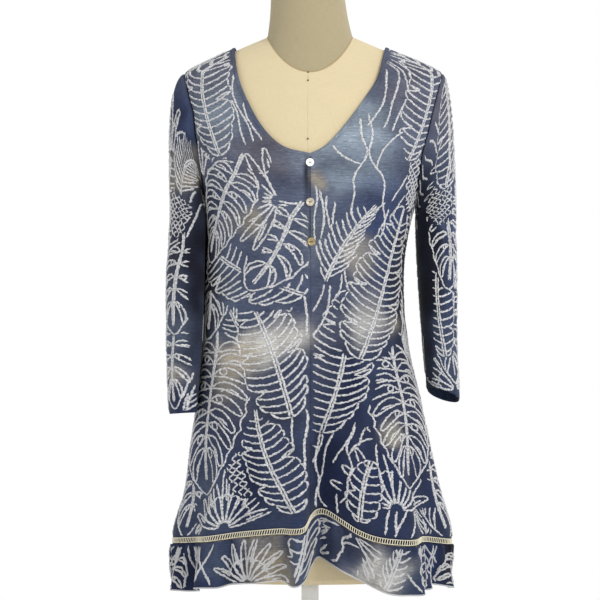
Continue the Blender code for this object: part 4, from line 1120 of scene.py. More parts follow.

# The motifs of each piece, the upper ones first: a lower one stops where it meets them.
# Angle and turn are in degrees, and a ruffle's height counts down from 0 to 1
# The bare places at the body's sides and on the sleeves' inner sides keep pale lines off the
# painted shade there
LEAVES = read_tables("kind angle height size turn twist", {
    "front_left": [
        ("bare", -9, 1.208, 0.05, 0, 1.1), ("bare", -88, 1.07, 0.056, 0, 4.2),
        ("banana", -46, 1.238, 0.178, -4, -1), ("split", -37, 1.212, 0.145, 208, 1),
        ("fan", -68, 1.205, 0.085, -4, 1), ("fan", -15, 1.172, 0.088, -82, 1),
        ("split", -9, 1.15, 0.115, 212, -1), ("banana", -3, 1.042, 0.205, -52, -1),
        ("net", -38, 1.142, 0.075, 40, 1), ("split", -66, 1.128, 0.15, 184, -1),
        ("banana", -8, 0.872, 0.185, -30, 1), ("split", -54, 0.965, 0.205, 177, 1),
        ("frond", -84, 0.835, 0.19, 4, 1), ("banana", -6, 0.742, 0.15, -14, -1),
        ("net", -30, 0.8, 0.08, -10, 1), ("fan", -36, 0.716, 0.085, -6, 1),
        ("split", -74, 0.822, 0.125, 172, -1), ("frond", -58, 0.69, 0.11, 14, 1),
        ("frond", -86, 1.04, 0.15, 10, -1), ("net", -20, 1.02, 0.06, 60, -1),
        ("frond", -26, 0.96, 0.12, -42, 1), ("reeds", -45, 0.95, 0.46, -8, 1),
    ],
    "front_right": [
        ("bare", 88, 1.05, 0.06, 0, 3.8), ("stem", 24, 1.14, 0.15, -4, -1),
        ("stem", 40, 1.12, 0.18, -10, 1), ("bare", 24, 1.222, 0.125, 0, 0.9),
        ("banana", 52, 1.232, 0.175, 4, 1), ("net", 66, 1.205, 0.095, -6, 1),
        ("banana", 26, 0.952, 0.225, 12, 1), ("split", 62, 1.145, 0.16, 176, 1),
        ("banana", 5, 0.85, 0.2, 4, 1), ("stem", 12, 0.752, 0.12, 14, 1),
        ("banana", 19, 0.727, 0.085, 24, -1), ("stem", 7, 0.745, 0.15, -8, -1),
        ("split", 50, 0.955, 0.185, 186, -1), ("frond", 82, 0.88, 0.2, -2, -1),
        ("fan", 34, 0.742, 0.1, 10, 1), ("split", 72, 0.845, 0.15, 178, 1),
        ("net", 34, 0.88, 0.08, 8, 1), ("frond", 56, 0.688, 0.12, -10, 1),
        ("banana", 86, 0.69, 0.15, -4, -1), ("frond", 82, 1.07, 0.15, -8, 1),
        ("frond", 8, 1.06, 0.12, 18, 1), ("reeds", 45, 0.95, 0.46, 10, 3),
    ],
    "back": [
        ("banana", 128, 1.222, 0.18, 6, 1), ("split", 160, 1.345, 0.17, 190, 1),
        ("banana", 232, 1.225, 0.18, -8, -1), ("split", 204, 1.34, 0.15, 172, 1),
        ("net", 180, 1.27, 0.08, 30, 1), ("fan", 110, 1.2, 0.09, 8, 1),
        ("fan", 250, 1.2, 0.09, -8, 1), ("banana", 190, 1.05, 0.21, -48, 1),
        ("split", 128, 1.185, 0.165, 182, -1), ("split", 236, 1.18, 0.165, 176, 1),
        ("frond", 98, 1.01, 0.17, 4, -1), ("frond", 262, 1.0, 0.17, -4, 1),
        ("banana", 152, 0.93, 0.2, -14, 1), ("fan", 206, 1.11, 0.12, 192, 1),
        ("split", 196, 0.985, 0.19, 178, -1), ("net", 172, 0.9, 0.08, -12, 1),
        ("banana", 108, 0.8, 0.21, 6, 1), ("split", 136, 0.905, 0.17, 174, 1),
        ("split", 240, 0.96, 0.19, 182, 1), ("frond", 262, 0.8, 0.18, -2, 1),
        ("banana", 172, 0.712, 0.165, 8, -1), ("net", 218, 0.79, 0.085, 14, 1),
        ("fan", 204, 0.712, 0.09, -10, 1), ("frond", 144, 0.69, 0.115, 12, 1),
        ("split", 112, 0.815, 0.12, 186, 1), ("banana", 228, 0.69, 0.11, 16, 1),
        ("frond", 254, 0.69, 0.11, -8, 1), ("reeds", 180, 0.95, 0.48, 6, 2),
    ],
    "sleeve_left": [
        ("bare", 140, 1.05, 0.052, 0, 6.4), ("frond", 74, 1.195, 0.13, 4, 1),
        ("net", 66, 1.165, 0.085, 6, 1), ("fan", 30, 1.235, 0.08, 6, 1),
        ("split", 88, 1.105, 0.12, 182, 1), ("banana", 36, 1.03, 0.15, 6, -1),
        ("split", 72, 0.99, 0.11, 176, 1), ("banana", -24, 1.12, 0.15, 4, 1),
        ("frond", 118, 0.98, 0.14, -4, -1), ("split", -40, 1.08, 0.13, 178, 1),
        ("banana", -90, 1.04, 0.15, 6, 1), ("fan", 24, 0.915, 0.09, 8, 1),
        ("frond", -40, 0.885, 0.12, -4, 1), ("split", -110, 1.01, 0.12, 182, -1),
        ("frond", 100, 0.872, 0.1, 6, 1), ("reeds", 0, 1.08, 0.25, 4, 2),
    ],
    "sleeve_right": [
        ("bare", 142, 1.06, 0.04, 0, 7.0), ("banana", 62, 1.205, 0.14, -6, -1),
        ("net", 84, 1.185, 0.09, -4, 1), ("fan", 26, 1.2, 0.09, 4, 1),
        ("split", 70, 1.18, 0.13, 178, 1), ("frond", 28, 1.05, 0.13, 6, 1),
        ("banana", 84, 0.955, 0.13, -6, 1), ("split", 44, 1.035, 0.12, 182, -1),
        ("frond", -28, 1.09, 0.16, 2, 1), ("banana", -60, 1.0, 0.15, 4, 1),
        ("split", -20, 1.06, 0.12, 180, 1), ("fan", 52, 0.905, 0.08, 4, 1),
        ("split", -110, 1.12, 0.13, 176, 1), ("frond", -44, 0.885, 0.12, -4, 1),
        ("banana", 120, 1.0, 0.14, 4, -1), ("frond", 110, 0.89, 0.11, -6, 1),
        ("reeds", 0, 1.08, 0.25, -4, 1),
    ],
    "ruffle_front": [
        ("split", -68, 0.32, 0.08, 186, 1), ("frond", -48, 1.02, 0.075, -26, 1),
        ("fan", -24, 1.02, 0.062, 12, 1), ("banana", -6, 1.06, 0.076, 2, 1),
        ("stem", 8, 0.92, 0.06, 26, 1), ("bare", 13, 0.5, 0.04, 0, 1.3),
        ("frond", 25, 1.02, 0.075, 34, -1), ("banana", 46, 1.08, 0.08, 18, -1),
        ("split", 74, 0.3, 0.08, 180, 1), ("fan", 16, -0.02, 0.07, 196, -1),
        ("net", -76, 0.62, 0.05, 20, 1), ("reeds", 0, 0.5, 0.33, 24, 2),
        ("reeds", 0, 0.52, 0.33, -28, 1),
    ],
    "ruffle_back": [
        ("split", 106, 0.3, 0.08, 182, 1), ("frond", 128, 1.02, 0.08, -26, 1),
        ("fan", 146, 1.02, 0.066, 8, 1), ("banana", 164, 1.06, 0.076, -6, 1),
        ("frond", 182, 1.02, 0.08, 24, -1), ("split", 204, 0.3, 0.08, 176, 1),
        ("fan", 222, 1.02, 0.07, -10, 1), ("frond", 240, 1.02, 0.08, 28, 1),
        ("split", 258, 0.3, 0.075, 180, -1), ("reeds", 180, 0.5, 0.33, -20, 1),
    ],
})


LINE_STEP = 0.0021
LINE_MARGIN = 0.0022
LINE_PROFILE = ((-1.0, -0.15), (-0.72, 0.68), (0.0, 1.0), (0.72, 0.68), (1.0, -0.15))
CRINKLE = 0.34
SWAY = 0.42
RISE_CHANGE = 0.30
SHORTEST_RUN = 5
SHORTEST_REED = 14


def even_steps(line, step):
    """Points of a line again, an even step apart."""
    length = distances(line)
    count = max(int(round(length[-1] / step)), 2)
    goal = np.linspace(0.0, length[-1], count + 1)
    return pairs(*[np.interp(goal, length, line[:, i]) for i in (0, 1)])


class Drawing:
    """Leaf lines of one piece: where they run on its surface, and their width.

    The surface has an angle and a level, which is a height in metres. Where drop is given, the
    level counts down from 0 to 1 along that length instead.
    """

    def __init__(self, motifs, radius, holds, drop=None):
        self.radius = radius
        self.holds = holds
        self.metres = 1.0 if drop is None else -drop
        self.runs = []
        self.placed = []
        for motif in motifs:
            self.add(motif)

    def to_surface(self, motif, local):
        """Places on the piece for a motif's own points."""
        turn = math.radians(motif.turn)
        x = local[:, 0] * math.cos(turn) + local[:, 1] * math.sin(turn)
        y = local[:, 1] * math.cos(turn) - local[:, 0] * math.sin(turn)
        angle = math.radians(motif.angle) + x / self.radius(motif.height)
        return angle, motif.height + y / self.metres

    def covered(self, motif, angle, level):
        """Whether places lie under a motif that was drawn before."""
        x = (angle - math.radians(motif.angle)) * self.radius(motif.height)
        y = (level - motif.height) * self.metres
        turn = math.radians(motif.turn)
        p = x * math.cos(turn) - y * math.sin(turn)
        q = x * math.sin(turn) + y * math.cos(turn)
        return KINDS[motif.kind](motif.size, motif.twist).covers(p, q)

    def add(self, motif):
        """Draw a motif in the places that are still free."""
        shortest = SHORTEST_REED if motif.kind == "reeds" else SHORTEST_RUN
        for line, weight in KINDS[motif.kind](motif.size, motif.twist).lines():
            angle, level = self.to_surface(motif, even_steps(line, LINE_STEP))
            free = self.holds(angle, level, LINE_MARGIN)
            for earlier in self.placed:
                free &= ~self.covered(earlier, angle, level)
            edges = np.flatnonzero(np.diff(np.concatenate(([0], free.astype(int), [0]))))
            for start, end in zip(edges[::2], edges[1::2]):
                if end - start >= shortest:
                    self.runs.append((angle[start:end], level[start:end], weight))
        self.placed.append(motif)


def leaf_line_mesh(drawing, lifted, half_width, rise, seed):
    """Points, faces and map of all the raised lines of a drawing."""
    random = np.random.RandomState(seed)
    profile = np.array(LINE_PROFILE)
    wide_points = len(profile)
    angles, levels, outs, faces = [], [], [], []
    start = 0
    for angle, level, weight in drawing.runs:
        count = len(angle)
        radius = drawing.radius(level)
        ahead = unit(pairs(np.gradient(angle) * radius, np.gradient(level) * drawing.metres))
        taper = np.minimum(np.minimum(np.arange(count), np.arange(count)[::-1]) / 1.5 + 0.12, 1.0)
        crinkle = 1 + random.uniform(-CRINKLE, CRINKLE, count)
        wide = half_width * weight * crinkle * taper
        sway = half_width * SWAY * random.uniform(-1, 1, count)
        offset = wide[:, None] * profile[:, 0] + sway[:, None]
        change = 1 + random.uniform(-RISE_CHANGE, RISE_CHANGE, count)
        lift = rise * math.sqrt(weight) * taper * change
        angles.append(angle[:, None] + ahead[:, 1:] * offset / radius[:, None])
        levels.append(level[:, None] - ahead[:, :1] * offset / drawing.metres)
        outs.append(lift[:, None] * profile[:, 1] + 0.0001)
        here = start + np.arange(count - 1)[:, None] * wide_points + np.arange(wide_points - 1)
        after = here + wide_points
        faces.append(np.stack((here, here + 1, after + 1, after), axis=-1).reshape(-1, 4))
        start += count * wide_points
    angle = np.concatenate(angles).ravel()
    level = np.concatenate(levels).ravel()
    points = lifted(angle, level, np.concatenate(outs).ravel())
    return points, np.concatenate(faces).tolist(), pairs(angle * drawing.radius(level), level)


# Meshes
def new_mesh_object(name, points, faces, uv, dye=None):
    """Mesh object from arrays, with a map in metres and the dye as a colour attribute."""
    mesh = bpy.data.meshes.new(name)
    mesh.from_pydata(np.asarray(points).reshape(-1, 3).tolist(), [], list(faces))
    mesh.shade_smooth()
    layer = mesh.uv_layers.new(name="metres")
    corners = np.zeros(len(mesh.loops), np.int32)
    mesh.loops.foreach_get("vertex_index", corners)
    flat = np.asarray(uv, np.float32).reshape(-1, 2)
    layer.data.foreach_set("uv", flat[corners].ravel())
    if dye is not None:
        attribute = mesh.attributes.new("dye", "FLOAT_COLOR", "POINT")
        colours = np.concatenate((dye, np.ones((len(dye), 1))), axis=1)
        attribute.data.foreach_set("color", colours.astype(np.float32).ravel())
    item = bpy.data.objects.new(name, mesh)
    bpy.context.scene.collection.objects.link(item)
    return item


def grid_faces(rows, columns, flip=False):
    """Faces of a grid of points, facing out where columns run left to right, top row first."""
    row = np.arange(rows - 1)[:, None]
    column = np.arange(columns - 1)[None, :]
    upper = row * columns + column
    lower = upper + columns
    ring = (lower, lower + 1, upper + 1, upper)
    faces = np.stack(ring[::-1] if flip else ring, axis=-1)
    return faces.reshape(-1, 4).tolist()


def tube_mesh(points, radius, sides=8, closed=False):
    """Points and faces of a tube along a line of points."""
    points = np.asarray(points, float)
    count = len(points)
    ahead = np.gradient(points, axis=0)
    if closed:
        ahead = np.roll(points, -1, axis=0) - np.roll(points, 1, axis=0)
    ahead = unit(ahead)
    up = np.where(np.abs(ahead[:, 2:]) > 0.9, np.array([[1.0, 0, 0]]), np.array([[0, 0, 1.0]]))
    aside = unit(np.cross(ahead, up))
    over = np.cross(aside, ahead)
    turn = (2 * math.pi * np.arange(sides) / sides)[None, :, None]
    radius = np.broadcast_to(radius, count)[:, None, None]
    ring = aside[:, None] * np.cos(turn) + over[:, None] * np.sin(turn)
    rings = points[:, None] + ring * radius
    row = np.arange(count if closed else count - 1)[:, None]
    column = np.arange(sides)[None, :]
    after = (row + 1) % count * sides
    here = row * sides
    nearby = (column + 1) % sides
    faces = np.stack((here + column, here + nearby, after + nearby, after + column), axis=-1)
    return rings.reshape(-1, 3), faces.reshape(-1, 4).tolist()


def joined(parts):
    """Points and faces of several meshes as one."""
    points = np.concatenate([part[0] for part in parts])
    faces = []
    start = 0
    for part_points, part_faces in parts:
        faces.extend([start + corner for corner in face] for face in part_faces)
        start += len(part_points)
    return points, faces


def turned_mesh(profile, middle, sides=64, stretch=(1.0, 1.0)):
    """Points and faces of a turned solid: a profile of radius and height, lowest first."""
    turn = 2 * math.pi * np.arange(sides) / sides
    rings = []
    for radius, height in profile:
        x = middle[0] + radius * stretch[0] * np.cos(turn)
        y = middle[1] + radius * stretch[1] * np.sin(turn)
        rings.append(np.stack((x, y, np.full(sides, middle[2] + height)), axis=1))
    points = np.concatenate(rings)
    faces = []
    for row in range(len(profile) - 1):
        for i in range(sides):
            j = (i + 1) % sides
            low = row * sides
            faces.append((low + i, low + j, low + sides + j, low + sides + i))
    last = (len(profile) - 1) * sides
    faces.append(tuple(range(sides - 1, -1, -1)))
    faces.append(tuple(last + i for i in range(sides)))
    return points, faces


def rounded_rim(radius, top, rim, steps):
    """Profile of a disc's edge: a small bevel below and a rounded edge above."""
    profile = [(radius - 0.001, 0.0), (radius, 0.001)]
    for step in range(steps + 1):
        turn = math.pi / 2 * step / steps
        profile.append((radius - rim * (1 - math.cos(turn)), top - rim * (1 - math.sin(turn))))
    return profile


# Shader maths: Python's operators add nodes
class Value:
    """A number, colour or vector in a material."""

    def __init__(self, finish, socket):
        self.finish = finish
        self.socket = socket

    def combine(self, operation, first, second=None):
        """Number from a Math node on one or two values."""
        sockets = {0: first} if second is None else {0: first, 1: second}
        return self.finish.add("ShaderNodeMath", {"operation": operation}, sockets)[0]

    def __add__(self, other):
        return self.combine("ADD", self, other)

    def __mul__(self, other):
        return self.combine("MULTIPLY", self, other)

    __radd__ = __add__
    __rmul__ = __mul__

    def sine(self):
        """Sine of the value."""
        return self.combine("SINE", self)

    def above(self, low, high):
        """0 below low, 1 above high, smooth between."""
        settings = {"interpolation_type": "SMOOTHSTEP"}
        return self.finish.add("ShaderNodeMapRange", settings,
                               {"Value": self, "From Min": low, "From Max": high})[0]


class Finish:
    """A material that is made from nodes."""

    def __init__(self, name, roughness, sheen=0.0, coat=0.0, specular=0.5):
        self.material = bpy.data.materials.new(name)
        self.material.use_nodes = True
        self.tree = self.material.node_tree
        self.shader = self.tree.nodes["Principled BSDF"]
        constants = {
            "Roughness": roughness,
            "Sheen Weight": sheen,
            "Sheen Roughness": 0.6,
            "Coat Weight": coat,
            "Specular IOR Level": specular,
        }
        for socket, number in constants.items():
            self.shader.inputs[socket].default_value = number

    def add(self, kind, settings=None, sockets=None):
        """Add a node: its type, its settings, and the values or links of its sockets."""
        node = self.tree.nodes.new(kind)
        for key, setting in (settings or {}).items():
            if key == "stops":
                self.set_stops(node.color_ramp, setting)
            else:
                setattr(node, key, setting)
        for key, value in (sockets or {}).items():
            if isinstance(value, Value):
                self.tree.links.new(value.socket, node.inputs[key])
            else:
                node.inputs[key].default_value = value
        return [Value(self, socket) for socket in node.outputs]

    def set_stops(self, ramp, stops):
        """Give a colour ramp its stops."""
        while len(ramp.elements) < len(stops):
            ramp.elements.new(0.5)
        for element, (place, color) in zip(ramp.elements, stops):
            element.position = place
            element.color = color

    def place(self, scale):
        """The piece's map in metres, stretched by a scale for each direction."""
        uv = self.add("ShaderNodeUVMap", {"uv_map": "metres"})[0]
        settings = {"operation": "MULTIPLY"}
        return self.add("ShaderNodeVectorMath", settings, {0: uv, 1: scale})[0]

    def noise(self, scale, detail=2.0):
        """Noise with one scale for each direction of the map."""
        sockets = {"Vector": self.place(scale), "Scale": 1.0, "Detail": detail}
        return self.add("ShaderNodeTexNoise", {"noise_dimensions": "3D"}, sockets)[0]

    def dye(self):
        """The dye that is stored in the mesh."""
        return self.add("ShaderNodeAttribute", {"attribute_name": "dye"})[0]

    def mixed(self, share, first, second):
        """Colour between two colours."""
        sockets = {0: share, 6: first, 7: second}
        return self.add("ShaderNodeMix", {"data_type": "RGBA"}, sockets)[2]

    def shaded(self, color, brightness):
        """Colour times a number that changes over the surface."""
        settings = {"operation": "SCALE"}
        return self.add("ShaderNodeVectorMath", settings, {0: color, "Scale": brightness})[0]

    def colour(self, value):
        """Link the base colour."""
        self.tree.links.new(value.socket, self.shader.inputs["Base Color"])

    def rough(self, value):
        """Link the roughness."""
        self.tree.links.new(value.socket, self.shader.inputs["Roughness"])

    def bump(self, height, strength, distance):
        """Link a bump."""
        sockets = {"Strength": strength, "Distance": distance, "Height": height}
        normal = self.add("ShaderNodeBump", None, sockets)[0]
        self.tree.links.new(normal.socket, self.shader.inputs["Normal"])


def rgba(color):
    """Four numbers from three."""
    return (*color[:3], 1.0)


def knit_finish(slub_share):
    """Slub jersey: cloudy dye, level streaks of thick and thin yarn, and fine ribs."""
    finish = Finish("slub_knit", 0.86, sheen=0.03, specular=0.12)
    slub = finish.noise((170.0, 780.0, 1.0), 3.0)
    long_slub = finish.noise((46.0, 460.0, 1.0))
    streak = slub * 0.65 + long_slub * 0.35
    pale = slub.above(0.54, 0.72) * slub_share
    dark = long_slub.above(0.52, 0.34) * 0.22
    base = finish.shaded(finish.dye(), streak * 0.9 + 0.55 + pale)
    finish.colour(finish.mixed(dark, base, rgba(tone(30, 38, 64))))
    across = finish.add("ShaderNodeSeparateXYZ", None, {0: finish.place((5200.0, 3600.0, 1.0))})
    rib = across[0].sine() * 0.25 + across[1].sine() * 0.15
    finish.bump(rib + streak * 1.6, 0.35, 0.0005)
    finish.rough(slub * 0.12 + 0.80)
    return finish.material


def yarn_finish(yarn, yarn_share):
    """Raised crinkled yarn of the leaf lines, a little tinted by the dye below."""
    finish = Finish("leaf_yarn", 0.92, sheen=0.15, specular=0.25)
    curl = finish.noise((400.0, 400.0, 1.0))
    loops = finish.noise((1100.0, 1100.0, 1.0), 1.0)
    color = finish.mixed(yarn_share, finish.dye(), rgba(yarn))
    finish.colour(finish.shaded(color, curl.above(0.38, 0.60) * 0.58 + loops * 0.5 + 0.38))
    finish.bump(curl + loops * 0.5, 0.7, 0.0008)
    return finish.material


def trim_finish(trim):
    """Cream cotton of the ladder trim, twisted."""
    finish = Finish("ladder_cotton", 0.85, sheen=0.10, specular=0.30)
    twist = finish.noise((900.0, 900.0, 1.0))
    color = finish.mixed(twist * 0.25, rgba(trim), rgba(tone(168, 158, 130)))
    finish.colour(finish.shaded(color, twist * 0.3 + 0.84))
    finish.bump(twist, 0.6, 0.0005)
    return finish.material


def edge_finish(yarn):
    """Overlocked edge of the ruffle: pale thread."""
    finish = Finish("overlock_thread", 0.85, specular=0.30)
    twist = finish.noise((1400.0, 1400.0, 1.0), 1.0)
    color = finish.mixed(0.72, finish.dye(), rgba(yarn))
    finish.colour(finish.shaded(color, twist * 0.4 + 0.76))
    finish.bump(twist, 0.6, 0.0004)
    return finish.material


def linen_finish(name, color, shade, thread):
    """Woven cover of the dress form: fine threads both ways, with some thicker ones."""
    finish = Finish(name, 0.88, sheen=0.08, specular=0.25)
    warp = finish.noise((1500.0, 90.0, 1.0))
    weft = finish.noise((90.0, 1500.0, 1.0))
    cloudy = finish.noise((9.0, 9.0, 1.0))
    weave = (warp + weft) * 0.5
    toned = finish.mixed(weave.above(0.40, 0.66) * thread, rgba(color), rgba(shade))
    finish.colour(finish.shaded(toned, cloudy * 0.10 + 0.95))
    finish.bump(weave, 0.4, 0.0004)
    return finish.material


def shell_finish(name, warmth):
    """Mother-of-pearl of a button, with its cloudy bands and a gold tint of painted reflection."""
    finish = Finish(name, 0.22, coat=0.5)
    bands = finish.noise((260.0, 420.0, 1.0), 3.0)
    light = mix(tone(240, 238, 230), tone(150, 132, 84), warmth)
    deep = mix(tone(206, 206, 206), tone(104, 88, 52), warmth)
    finish.colour(finish.mixed(bands.above(0.42, 0.66), rgba(light), rgba(deep)))
    finish.rough(bands * 0.15 + 0.15)
    return finish.material


def plain_finish(name, color, roughness, grain, coat=0.0):
    """Smooth finish with a faint unevenness, such as paint or a pin's head."""
    finish = Finish(name, roughness, coat=coat)
    spots = finish.noise((grain, grain, 1.0), 3.0)
    finish.colour(finish.shaded(tuple(color), spots * 0.10 + 0.95))
    finish.rough(spots * 0.15 + (roughness - 0.07))
    finish.bump(spots, 0.05, 0.0003)
    return finish.material


def floor_finish(color):
    """Pale, plain studio floor."""
    finish = Finish("studio_floor", 0.9, specular=0.1)
    finish.shader.inputs["Base Color"].default_value = rgba(color)
    return finish.material


# Sizes and colours that a user would change
def length_setting(name, description, default, low, high):
    """A length in metres."""
    return FloatProperty(name=name, description=description, default=default, min=low, max=high,
                         unit="LENGTH", precision=4)


def share_setting(name, description, default):
    """A share from 0 to 1."""
    return FloatProperty(name=name, description=description, default=default, min=0.0, max=1.0,
                         subtype="FACTOR")


def colour_setting(name, description, *picked):
    """A colour, by the 0 to 255 numbers of a colour picker."""
    return FloatVectorProperty(name=name, description=description, default=tuple(tone(*picked)),
                               min=0.0, max=1.0, size=3, subtype="COLOR")


class TunicSizes(bpy.types.PropertyGroup):
    """Sizes of the tunic's finer parts."""

    cloth: length_setting("Cloth", "Thickness of the knit", 0.0011, 0.0003, 0.003)
    line_width: length_setting(
        "Leaf line width", "Width of the raised yarn of a leaf vein", 0.0026, 0.001, 0.008)
    line_rise: length_setting(
        "Leaf line height", "How far the raised yarn stands on the cloth", 0.0011, 0.0002, 0.003)
    rung_pitch: length_setting(
        "Rung pitch", "Distance between the rungs of the ladder trim", 0.0035, 0.002, 0.01)
    rail: length_setting(
        "Rail", "Thickness of the two rails of the ladder trim", 0.0010, 0.0006, 0.003)
    edge: length_setting(
        "Ruffle edge", "Thickness of the overlocked edge of the ruffle", 0.0021, 0.0008, 0.004)
    panel_rows: IntProperty(
        name="Panel rows", description="Rows of faces down a panel", default=165, min=40, max=300)
    panel_columns: IntProperty(
        name="Panel columns", description="Columns of faces across half the body",
        default=56, min=20, max=120)


class TunicColours(bpy.types.PropertyGroup):
    """Colours of the tunic, of its dress form and of its stand."""

    yarn: colour_setting("Leaf yarn", "Colour of the raised leaf lines", 183, 183, 184)
    yarn_share: share_setting("Yarn cover", "How little of the dye shows in the leaf yarn", 0.86)
    slub_share: share_setting("Slub amount", "How strongly the pale yarns show", 0.45)
    trim: colour_setting("Trim", "Colour of the ladder trim", 204, 198, 178)
    linen: colour_setting("Linen", "Colour of the dress form's cover", 190, 176, 143)
    neck: colour_setting("Neck cover", "Colour of the dress form's neck", 149, 138, 110)
    paint: colour_setting("Stand", "Colour of the pole and the base", 196, 197, 196)


def sizes():
    """The sizes that are set in the sidebar."""
    return bpy.context.scene.tunic_sizes


def colours():
    """The colours that are set in the sidebar."""
    return bpy.context.scene.tunic_colours


def add_piece(name, points, faces, uv, material, slot, *nodes, dye=None, wall=None, weld=False):
    """Add a piece that rides on the part, and stands for CAD nodes where they are named.

    An open sheet gets its wall on the inner side, after points that meet are welded.
    """
    item = new_mesh_object(name, points, faces, uv, dye)
    if weld:
        item.modifiers.new("centre seam", "WELD").merge_threshold = 0.00005
    if wall:
        solidify = item.modifiers.new("cloth thickness", "SOLIDIFY")
        solidify.thickness = wall
        solidify.offset = -1.0
        solidify.use_rim = True
    item.data.materials.append(material)
    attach(item, "root")
    if nodes:
        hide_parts(*nodes)
    return item


def knit():
    """The material of all the dyed cloth."""
    return bpy.data.materials.get("slub_knit") or knit_finish(colours().slub_share)


def yarn():
    """The material of all the raised leaf lines."""
    made = bpy.data.materials.get("leaf_yarn")
    return made or yarn_finish(colours().yarn, colours().yarn_share)


def ridge(distance, height, width, power=2):
    """A small ridge or roll along a seam or an edge, by the distance from it."""
    return height * np.exp(-(distance / width) ** power)


def panel_points(panel, crowding):
    """Points, map and grid size of half a panel, with its edges rolled in at the seams."""
    angle, height = panel.grid(sizes().panel_rows, sizes().panel_columns, crowding)
    points = body(angle, height)
    across = np.linalg.norm(np.diff(points, axis=1), axis=-1)
    from_centre = np.pad(np.cumsum(across, axis=1), ((0, 0), (1, 0)))
    down = np.linalg.norm(np.diff(points, axis=0), axis=-1)
    from_top = np.pad(np.cumsum(down, axis=0), ((1, 0), (0, 0)))
    roll = ridge(from_centre[:, -1:] - from_centre, *SIDE_ROLL)
    roll += ridge(from_top, *SHOULDER_ROLL)
    roll += ridge(from_top[-1:] - from_top, *HEM_ROLL)
    if not panel.back:
        lap = ease((height - PLACKET_END) / 0.012)
        seam = ridge(from_centre, 0.0010 * (1 - lap), 0.0020)
        if panel.side == "right":
            seam = seam - ridge(from_centre, 0.0011 * lap, 0.0075, 4)
        else:
            seam = seam + ridge(from_centre, 0.0004 * lap, 0.0060)
        roll += seam * ease((NECK_FRONT[-1].height - height) / 0.004)
    points = points - normals(body, angle, height) * roll[..., None]
    across_map = (angle - panel.turn) * CLOTH.radius(np.full_like(height, 1.0)) * 1.15
    uv = np.stack((across_map + panel.turn, height), axis=-1)
    return points.reshape(-1, 3), uv.reshape(-1, 2), angle.shape


def lifted_body(angle, height, out):
    """Points moved out from the body."""
    return body(angle, height) + normals(body, angle, height) * np.asarray(out)[..., None]


def add_leaf_lines(name, table, radius, holds, lifted, seed, drop=None):
    """Raised leaf lines on a piece of cloth, as a piece of their own."""
    drawing = Drawing(LEAVES[name], radius, holds, drop)
    points, faces, uv = leaf_line_mesh(drawing, lifted, sizes().line_width / 2,
                                       sizes().line_rise, seed)
    return add_piece(name + "_leaf_lines", points, faces, uv, yarn(), "tunic_knit",
                     dye=dye_colours(points, table))


class Undoable:
    """What the steps share."""

    bl_options = {"REGISTER", "UNDO"}


